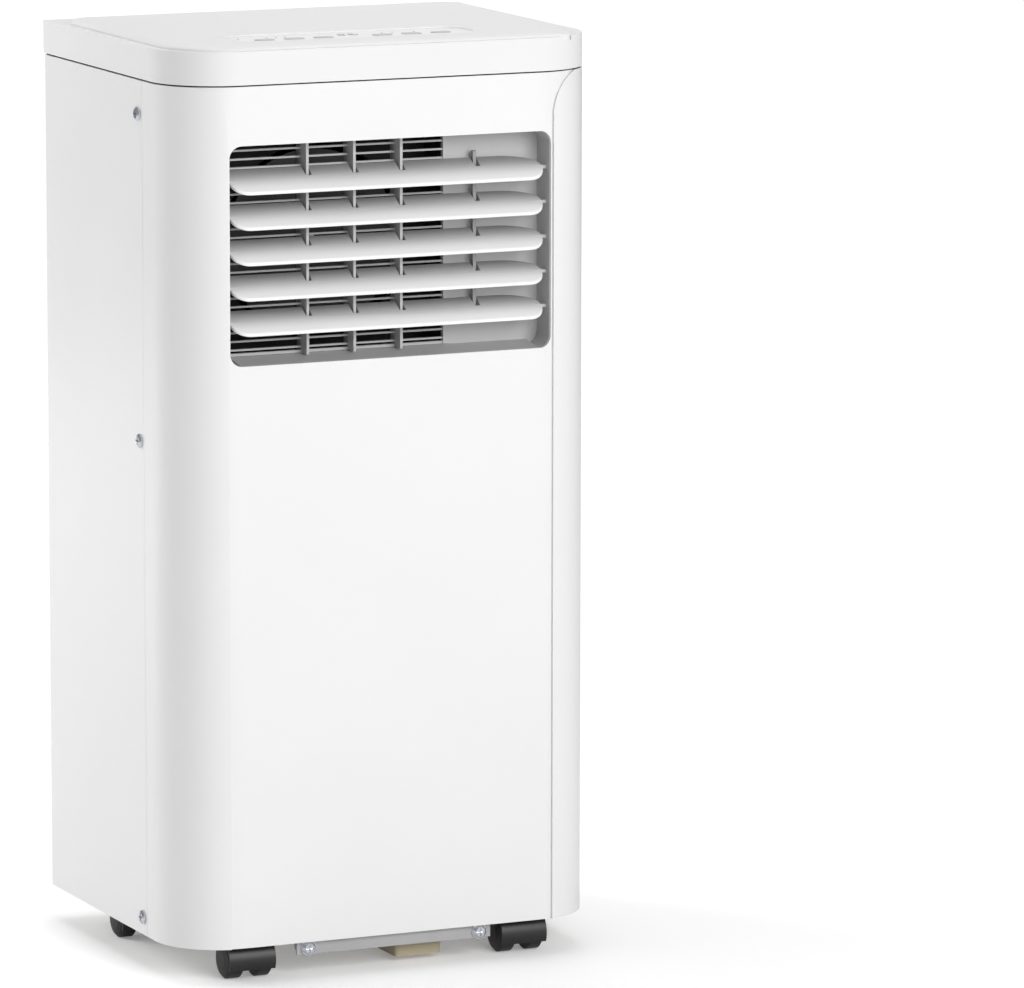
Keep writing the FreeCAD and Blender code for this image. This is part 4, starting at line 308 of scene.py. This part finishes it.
def board():
    """Green lacquer over square tracks: a brick pattern's mortar lines stand for the copper."""
    f = Finish("green_board")
    tracks = f.node("TexBrick", {"offset": 0.37}, {
        "Vector": f.place, "Scale": 60.0, "Mortar Size": 0.03, "Mortar Smooth": 0.2,
        "Color1": (0, 0, 0, 1), "Color2": (0, 0, 0, 1), "Mortar": (1, 1, 1, 1)})
    return f.surface(
        Base_Color=f.shift(tracks, (0.01, 0.10, 0.035), (0.05, 0.24, 0.09)),
        Roughness=0.32 + 0.1 * tracks, Normal=f.bump(tracks, 0.00004))


def finned():
    """Fin edges seen end on: a sine along x, 1.9 mm from crest to crest, from painted gap shade to bright
    fin.
    """
    f = Finish("fin_stock")
    fins = f.node("TexWave", {"bands_direction": "X"}, {
        "Vector": f.place, "Scale": 165.0, "Distortion": 0.4, "Detail": 0.0})
    return f.surface(
        # The dark end of the colour is painted shade: it stands for the shadow deep in each gap between fins.
        Base_Color=f.shift(fins, (0.05, 0.05, 0.055), (0.55, 0.56, 0.58)), Metallic=0.4 + 0.4 * fins,
        Roughness=0.5 - 0.15 * fins, Normal=f.bump(fins, 0.0006))


ZINC = metal("bright_zinc", (0.74, 0.76, 0.82), (0.55, 0.56, 0.60), 0.2)
STEEL = metal("plated_steel", (0.55, 0.55, 0.56), (0.38, 0.38, 0.39), 0.32)
COPPER = metal("drawn_copper", (0.86, 0.46, 0.29), (0.42, 0.20, 0.12), 0.22, lumps=60)
ALUMINIUM = finned()
POWDER = enamel("grey_powder_coat", (0.34, 0.34, 0.345), 0.45, peel=900, depth=0.00002)
ENAMEL = enamel("black_enamel", (0.012, 0.012, 0.012), 0.25)
BOARD = board()
print("metals, enamel and board made")

# %% Which node gets which finish
WEAR = {
    SHELL: ("front_shell", "rear_shell", "upper_rear_grille", "lower_rear_grille", "exhaust_outlet"),
    CAP: ("top_ring", "top_lid"),
    STRIP: ("control_panel", "display_window"),
    BUTTON: tuple(n for n in NODES if n.endswith("_button")),
    LOUVER: tuple(n for n in NODES if n.startswith("louver_")),
    OUTLET: ("vent_housing", "outlet_grille"),
    BASE: ("base_pan", "drip_tray", "cord_gland"),
    SUMP: ("drain_sump",),
    CASTER: tuple(n for n in NODES if n.startswith("caster_")),
    RUBBER: ("drain_plug", "compressor_mounts"),
    FAN: ("upper_fan_wheel", "lower_fan_wheel"),
    FOAM_AND_SEAM_SHADE: ("upper_scroll", "lower_scroll"),
    FILTER: ("intake_filter",),
    ZINC: ("side_screws", "rear_screws", "base_screws", "base_washers"),
    STEEL: ("upper_fan_motor", "lower_fan_motor", "capacitor"),
    COPPER: ("discharge_pipe", "suction_pipe"),
    ALUMINIUM: ("evaporator_coil", "condenser_coil"),
    POWDER: ("front_strip", "control_box"),
    ENAMEL: ("compressor", "accumulator"),
    BOARD: ("control_board",),
}
for material, names in WEAR.items():
    for name in names:
        NODES[name].data.materials.clear()
        NODES[name].data.materials.append(material)
bare = sorted(set(NODES) - {n for names in WEAR.values() for n in names})
print("nodes with no finish:", bare)

# %% [markdown]
# ## Surfaces from arrays
# Each new shape is a grid of points: rings one after another along it, and points around each ring. The
# grid is worked out as one array, and its faces follow from the counting alone. Closed ends are single
# flat faces. The helpers below turn such grids into meshes and let several grids share one piece.

# %% Grids and pieces
def grid_faces(rings, around, first=0, closed_ends=(True, True)):
    """Faces of a grid whose rings close: each joins point j and j + 1 of ring i to those of ring i + 1."""
    i, j = np.meshgrid(np.arange(rings - 1), np.arange(around), indexing="ij")
    a, b = i * around + j, i * around + (j + 1) % around
    faces = (np.stack([a, b, b + around, a + around], -1).reshape(-1, 4) + first).tolist()
    last = first + (rings - 1) * around
    ends = [list(range(first, first + around))[::-1], list(range(last, last + around))]
    return faces + [end for end, closed in zip(ends, closed_ends) if closed]


def piece(name, grids, finish, body, stands_for=(), sharp=40, closed_ends=(True, True)):
    """A mesh of closed shells from a list of (rings, around, 3) arrays. It rides on a body of the model."""
    corners, faces = [], []
    for grid in grids:
        faces += grid_faces(grid.shape[0], grid.shape[1], len(corners), closed_ends)
        corners += grid.reshape(-1, 3).tolist()
    mesh = bpy.data.meshes.new(name)
    mesh.from_pydata(corners, [], faces)
    shell = bmesh.new()
    shell.from_mesh(mesh)
    bmesh.ops.recalc_face_normals(shell, faces=shell.faces)
    shell.to_mesh(mesh)
    shell.free()
    mesh.shade_smooth()
    mesh.set_sharp_from_angle(angle=math.radians(sharp))
    made = bpy.data.objects.new(name, mesh)
    bpy.context.scene.collection.objects.link(made)
    made.data.materials.append(finish)
    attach(made, body)
    if stands_for:
        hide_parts(*stands_for)
    print(name, "faces:", len(mesh.polygons))
    return made


def arc(centre, radii, start, end, steps=9):
    """Points of an ellipse: centre + (rx cos a, ry sin a), for a from start to end in degrees."""
    a = np.radians(np.linspace(start, end, steps))
    return np.stack([centre[0] + radii[0] * np.cos(a), centre[1] + radii[1] * np.sin(a)], -1)


def outward(outline):
    """Unit normals of an anticlockwise outline: the tangent across each point, turned by -90."""
    tangent = np.roll(outline, -1, 0) - np.roll(outline, 1, 0)
    tangent /= np.linalg.norm(tangent, axis=1, keepdims=True)
    return np.stack([tangent[:, 1], -tangent[:, 0]], -1)


def rounded_outline(low, high, radii, steps=14):
    """A rectangle with the given corner radii: front left, front right, rear right, rear left."""
    spots = ((low[0], low[1], 1, 1, 180), (high[0], low[1], -1, 1, 270),
             (high[0], high[1], -1, -1, 0), (low[0], high[1], 1, -1, 90))
    return np.concatenate([arc((x + sx * r, y + sy * r), (r, r), turn, turn + 90, steps)
                           for (x, y, sx, sy, turn), r in zip(spots, radii)])


def rings_of(outline, insets, heights, lean=None):
    """Rings at each height, moved inwards by inset times a share that may differ round the outline."""
    share = np.ones(len(outline)) if lean is None else lean
    flat = outline[None] - outward(outline)[None] * (np.asarray(insets)[:, None] * share[None])[..., None]
    z = np.broadcast_to(np.asarray(heights)[:, None, None], (len(heights), len(outline), 1))
    return np.concatenate([flat, z], -1)


print("surface helpers are ready")

# %% [markdown]
# ## The louvers
# A louver is a long leaf of plastic: straight in front, with round front corners, and one long soft curve
# at the rear of its right end. Its front edge is cut so that it stands upright when the blade is tipped,
# which makes the bright line along each blade. Slots clear the fixed ribs and the tie bar. The blade is
# its own outline carried up through its thickness, with more inset along the front than elsewhere.

# %% Louver blades
PIN = 0.0015
BLADE_FRONT, BLADE_REAR = 0.0136, 0.0132
RIB_PLACES, RIB_SLOT, SLOT_DEPTH = (-0.059, -0.0227, 0.0136), 0.0046, 0.010
TIE_PLACE, TIE_SLOT, EAR = 0.072, 0.0044, 0.0016
TIE_REACH, TIE_DROP = 0.008, 0.005
TILT = math.radians(33)
joints = {joint["name"]: joint for joint in frame["joints"]}


def blade_outline(half):
    """The leaf seen from above, anticlockwise from its left tip: x along it, s towards its rear."""
    front = [arc((-half + 0.013, -PIN), (0.013, BLADE_FRONT - PIN), 180, 270, 14),
             arc((half - 0.013, -PIN), (0.013, BLADE_FRONT - PIN), 270, 360, 14)]
    rear = [arc((half - 0.033, PIN), (0.033, BLADE_REAR - PIN), 0, 90, 18)]
    for x, width in sorted([(x, RIB_SLOT) for x in RIB_PLACES] + [(TIE_PLACE, TIE_SLOT)], reverse=True):
        deep = BLADE_REAR - SLOT_DEPTH
        rear.append(np.array([(x + width / 2, BLADE_REAR), (x + width / 2, deep),
                              (x - width / 2, deep), (x - width / 2, BLADE_REAR)]))
    rear.append(arc((-half + 0.003, BLADE_REAR - 0.003), (0.003, 0.003), 90, 180, 8))
    return np.concatenate(front + rear)


def rod_between(start, end, radius, around=12):
    """A round rod with a small chamfer: circles of that radius about the line from start to end."""
    start, end = np.asarray(start, float), np.asarray(end, float)
    along = (end - start) / np.linalg.norm(end - start)
    side = np.cross(along, (0, 0, 1) if abs(along[2]) < 0.9 else (1, 0, 0))
    side /= np.linalg.norm(side)
    a = np.linspace(0, 2 * np.pi, around, endpoint=False)
    circle = np.cos(a)[:, None] * side + np.sin(a)[:, None] * np.cross(along, side)
    edge = radius * 0.2
    stations = [(start, radius - edge), (start + along * edge, radius),
                (end - along * edge, radius), (end, radius - edge)]
    return np.stack([place + circle * r for place, r in stations])


def slab(low, high, edge=0.0002):
    """A box between two corners with its upright edges rounded off."""
    flat = rounded_outline(low[:2], high[:2], [min(edge * 2, (high[0] - low[0]) / 3)] * 4, 3)
    return rings_of(flat, [edge, 0, 0, edge], [low[2], low[2] + edge, high[2] - edge, high[2]])


def tipped(grid, pivot):
    """Turns a blade's points by the tilt about the x axis, then moves them to the pivot."""
    x, s, t = grid[..., 0], grid[..., 1], grid[..., 2]
    return np.stack([x, pivot[1] + s * math.cos(TILT) - t * math.sin(TILT),
                     pivot[2] + s * math.sin(TILT) + t * math.cos(TILT)], -1)


LAYERS = (-0.0013, -0.0010, -0.0004, 0.0005, 0.0011, 0.0013)
LIP_INSETS = (0.0011, 0.0003, 0.0000, 0.0006, 0.0013, 0.0019)
PLAIN_INSETS = (0.0006, 0.0001, 0.0000, 0.0000, 0.0001, 0.0006)
PIN_REACH, PIN_ROOT, LINK_PIN = 0.0055, 0.012, 0.001
EAR_HALF, EAR_LOW, EAR_TOP = 0.002, 0.0016, -0.0005
for number in range(1, 6):
    node = f"louver_{number}"
    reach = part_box(node)[1].x
    leaf = blade_outline(reach - PIN_REACH)
    facing = np.clip(-outward(leaf)[:, 1], 0, 1) ** 2
    upright = rings_of(leaf, LIP_INSETS, LAYERS, facing)
    plain = rings_of(leaf, PLAIN_INSETS, LAYERS, 1 - facing)
    blade = upright + plain - rings_of(leaf, [0] * len(LAYERS), LAYERS)
    ears = TIE_SLOT / 2 + EAR
    link = [rod_between((TIE_PLACE - ears, TIE_REACH, -TIE_DROP), (TIE_PLACE + ears, TIE_REACH, -TIE_DROP),
                        LINK_PIN)]
    for side in (-1, 1):
        inner, outer = sorted((TIE_PLACE + side * TIE_SLOT / 2, TIE_PLACE + side * (TIE_SLOT / 2 + EAR)))
        link.append(slab((inner, TIE_REACH - EAR_HALF, -TIE_DROP - EAR_LOW),
                         (outer, TIE_REACH + EAR_HALF, EAR_TOP)))
        link.append(rod_between((side * (reach - PIN_ROOT), 0, 0), (side * reach, 0, 0), PIN))
    grids = [tipped(grid, joints[f"{node}_swing"]["pos_m"]) for grid in [blade] + link]
    piece(f"blade_{number}", grids, LOUVER, node, [node])

# %% [markdown]
# ## The lid
# The lid is a raised plate with a sunk strip for the controls. Towards the front it rolls down over
# fifteen millimetres, less along the left, and only as a small round on the right and at the back. So its
# section is a quarter ellipse between two outlines, the foot of the roll and its crest. Both outlines and
# the strip's rim are read off along rays from one middle point, so no face can cross another.

# %% Lid
def on_rays(outline, middle, turns):
    """Where rays from the middle, at those turns, cross an outline: its radius read off against its angle."""
    arm = outline - middle
    angle = np.arctan2(arm[:, 1], arm[:, 0])
    order = np.argsort(angle)
    radius = np.interp(turns, angle[order], np.linalg.norm(arm, axis=1)[order], period=2 * np.pi)
    return middle + radius[:, None] * np.stack([np.cos(turns), np.sin(turns)], -1)


def dense(outline, step=0.0008):
    """The same closed outline with points no further apart than about that step."""
    joined = np.vstack([outline, outline[:1]])
    length = np.concatenate([[0], np.cumsum(np.linalg.norm(np.diff(joined, axis=0), axis=1))])
    spots = np.arange(0, length[-1], step)
    return np.stack([np.interp(spots, length, joined[:, k]) for k in (0, 1)], -1)


lid_low, lid_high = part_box("top_lid")
strip_low, strip_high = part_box("control_panel")
seat_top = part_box("top_ring")[1].z
middle = np.array([(strip_low.x + strip_high.x) / 2, (strip_low.y + strip_high.y) / 2])
STRIP_GAP, STRIP_CORNER = 0.0003, 0.0203
EDGE_CORNERS, CREST_CORNERS = [0.0456, 0.0086, 0.0086, 0.0086], [0.036, 0.006, 0.006, 0.006]
rim = dense(rounded_outline((strip_low.x - STRIP_GAP, strip_low.y - STRIP_GAP),
                            (strip_high.x + STRIP_GAP, strip_high.y + STRIP_GAP), [STRIP_CORNER] * 4))
edge = dense(rounded_outline((lid_low.x, lid_low.y), (lid_high.x, lid_high.y), EDGE_CORNERS))
ROLL_FRONT, ROLL_LEFT, ROLL_OTHER, TURN_STEP = 0.0145, 0.0075, 0.003, 0.003
crest = dense(rounded_outline((lid_low.x + ROLL_LEFT, lid_low.y + ROLL_FRONT),
                              (lid_high.x - ROLL_OTHER, lid_high.y - ROLL_OTHER), CREST_CORNERS))
spots = np.concatenate([np.arctan2(*(line - middle).T[::-1]) for line in (edge, crest, rim)])
turns = np.unique(np.round(spots / TURN_STEP)) * TURN_STEP
edge, crest, rim = [on_rays(line, middle, turns) for line in (edge, crest, rim)]
bend = np.radians(np.linspace(0, 90, 12))
FOOT, ROLL_START = 0.0004, 0.0008
rise = lid_high.z - seat_top - ROLL_START
inward = np.concatenate([[0.0, 0.0], 1 - np.cos(bend)])[:, None, None]
heights = np.concatenate([[lid_low.z, seat_top + FOOT], seat_top + ROLL_START + rise * np.sin(bend)])
side = np.concatenate([edge + (crest - edge) * inward,
                       np.broadcast_to(heights[:, None, None], (len(heights), len(edge), 1))], -1)
shrink = np.linspace(0.25, 1, 4)[:, None, None]
flat = side[-1][None] * (1 - shrink)
RIM_ROUND, RIM_EASE, BELOW_STRIP, LEDGE = 0.0004, 0.00012, 0.001, 0.004
shelf = strip_high.z - BELOW_STRIP
rim_wall = rings_of(rim, [-RIM_ROUND, -RIM_EASE, 0, 0],
                    [lid_high.z, lid_high.z - RIM_EASE, lid_high.z - RIM_ROUND, shelf])
flat = flat + rim_wall[0][None] * shrink
under = rings_of(rim, [-LEDGE, -LEDGE], [shelf, lid_low.z])
piece("lid", [np.concatenate([side, flat, rim_wall[1:], under, side[:1]])], CAP, "casing",
      ["top_lid"], sharp=50, closed_ends=(False, False))

# %% [markdown]
# ## The display and the small lamps
# The two figures of the display are made of seven bars each, as on any such display, and a row of small
# round lamps stands behind the buttons. All are thin slabs that stand a tenth of a millimetre proud.

# %% Figures and lamps
glass_low, glass_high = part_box("display_window")
FIGURE_WIDE, FIGURE_HIGH, BAR, PROUD = 0.0052, 0.0088, 0.0012, 0.0001
LAMPS = (-0.098, -0.076, -0.069, -0.062, 0.013, 0.021, 0.038)
LAMP_RADIUS, LAMP_LINE, BAR_TRIM, BAR_EDGE = 0.0009, -0.080, 0.6, 0.00003
FIGURES = (("2", -0.0072), ("6", 0.0016))
SEGMENTS = {"2": "abged", "6": "afgedc"}


def bar_of(letter, left, front, top):
    """One bar of a figure: a, g and d lie across, from rear to front; f, b, e and c run along its sides."""
    half = FIGURE_HIGH / 2
    across = {"a": 2, "g": 1, "d": 0}
    if letter in across:
        y = front + half * across[letter]
        low, high = (left + BAR * BAR_TRIM, y - BAR / 2), (left + FIGURE_WIDE - BAR * BAR_TRIM, y + BAR / 2)
    else:
        x = left if letter in "fe" else left + FIGURE_WIDE
        y = front + (half if letter in "fb" else 0)
        low, high = (x - BAR / 2, y + BAR * BAR_TRIM), (x + BAR / 2, y + half - BAR * BAR_TRIM)
    return slab((*low, top - PROUD), (*high, top + PROUD), BAR_EDGE)


centre = (glass_low + glass_high) / 2
marks = []
for figure, left in FIGURES:
    marks += [bar_of(letter, centre.x + left, centre.y - FIGURE_HIGH / 2, glass_high.z)
              for letter in SEGMENTS[figure]]
for x in LAMPS:
    foot, top = (x, LAMP_LINE, strip_high.z - PROUD), (x, LAMP_LINE, strip_high.z + PROUD)
    marks.append(rod_between(foot, top, LAMP_RADIUS, 20))
piece("display_marks", marks, INK, "casing")

# %% [markdown]
# ## Painted shade in the cap's seam
# Between the body and the cap runs a gap a little over a millimetre high. A dark band set in it is painted
# shade: it stands for the shadow deep in the gap. It is the casing's outline moved inwards, with a low oval
# section.

# %% Painted shade band in the cap's seam
body_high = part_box("rear_shell")[1]
ring_low, ring_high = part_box("top_ring")
SEAM_LOW, SEAM_GAP, SHADE_BAND_OUT, SHADE_BAND_IN = body_high.z, 0.0012, 0.0012, 0.0031
CASING_CORNERS, SHADE_BAND_EASE = [0.05, 0.05, 0.004, 0.004], 0.00004
shell_line = rounded_outline((ring_low.x, ring_low.y), (ring_high.x, ring_high.y), CASING_CORNERS)
swell = np.radians(np.linspace(0, 360, 10, endpoint=False))
half_wide, half_high = (SHADE_BAND_IN - SHADE_BAND_OUT) / 2, SEAM_GAP / 2 - SHADE_BAND_EASE
section = rings_of(shell_line, SHADE_BAND_OUT + half_wide + half_wide * np.cos(swell),
                   SEAM_LOW + SEAM_GAP / 2 + half_high * np.sin(swell))
# A dark band of painted shade: it stands for the shadow deep in the gap between body and cap.
piece("seam_shade_band", [np.concatenate([section, section[:1]])], FOAM_AND_SEAM_SHADE, "casing",
      closed_ends=(False, False))

# %% [markdown]
# ## The floor
# A plain pale floor catches the soft shadow under the unit. Away from the unit it fades into the white
# backdrop, so that no horizon shows. It is a square of paper that turns clear to the eye with distance,
# while light still falls on all of it. It is also paler, and glows more, to the eye than to other rays.

# %% Floor
HALF_FLOOR, FADE_START, FADE_END = 6.0, 0.42, 0.95
BOUNCE, SEEN = (0.7, 0.7, 0.7), (0.94, 0.94, 0.94)
GLOW, SEEN_GLOW = 0.08, 0.12


def pale_paper():
    """White paper, a little glowing, that the eye sees through as the distance from the middle grows."""
    f = Finish("pale_floor")
    away = f.node("VectorMath", {"operation": "LENGTH"}, {0: f.place}, out="Value")
    fade = f.node("MapRange", {"interpolation_type": "SMOOTHSTEP"}, {
        "Value": away, "From Min": FADE_START, "From Max": FADE_END})
    sight = f.node("LightPath", out="Is Camera Ray")
    paper = f.node("BsdfPrincipled", None, {
        "Base Color": f.shift(sight, BOUNCE, SEEN), "Roughness": 0.9, "Specular IOR Level": 0.1,
        "Emission Color": (1, 1, 1, 1), "Emission Strength": GLOW + SEEN_GLOW * sight})
    both = f.node("MixShader", None, {0: fade * sight, 1: paper, 2: f.node("BsdfTransparent")})
    end = f.tree.nodes.new("ShaderNodeOutputMaterial")
    f.tree.links.new(both.socket, end.inputs["Surface"])
    return f.material


corners = [(x * HALF_FLOOR, y * HALF_FLOOR, 0) for x, y in ((-1, -1), (1, -1), (1, 1), (-1, 1))]
sheet = bpy.data.meshes.new("floor")
sheet.from_pydata(corners, [], [(0, 1, 2, 3)])
floor = bpy.data.objects.new("floor", sheet)
bpy.context.scene.collection.objects.link(floor)
floor.data.materials.append(pale_paper())
print("the floor is down")
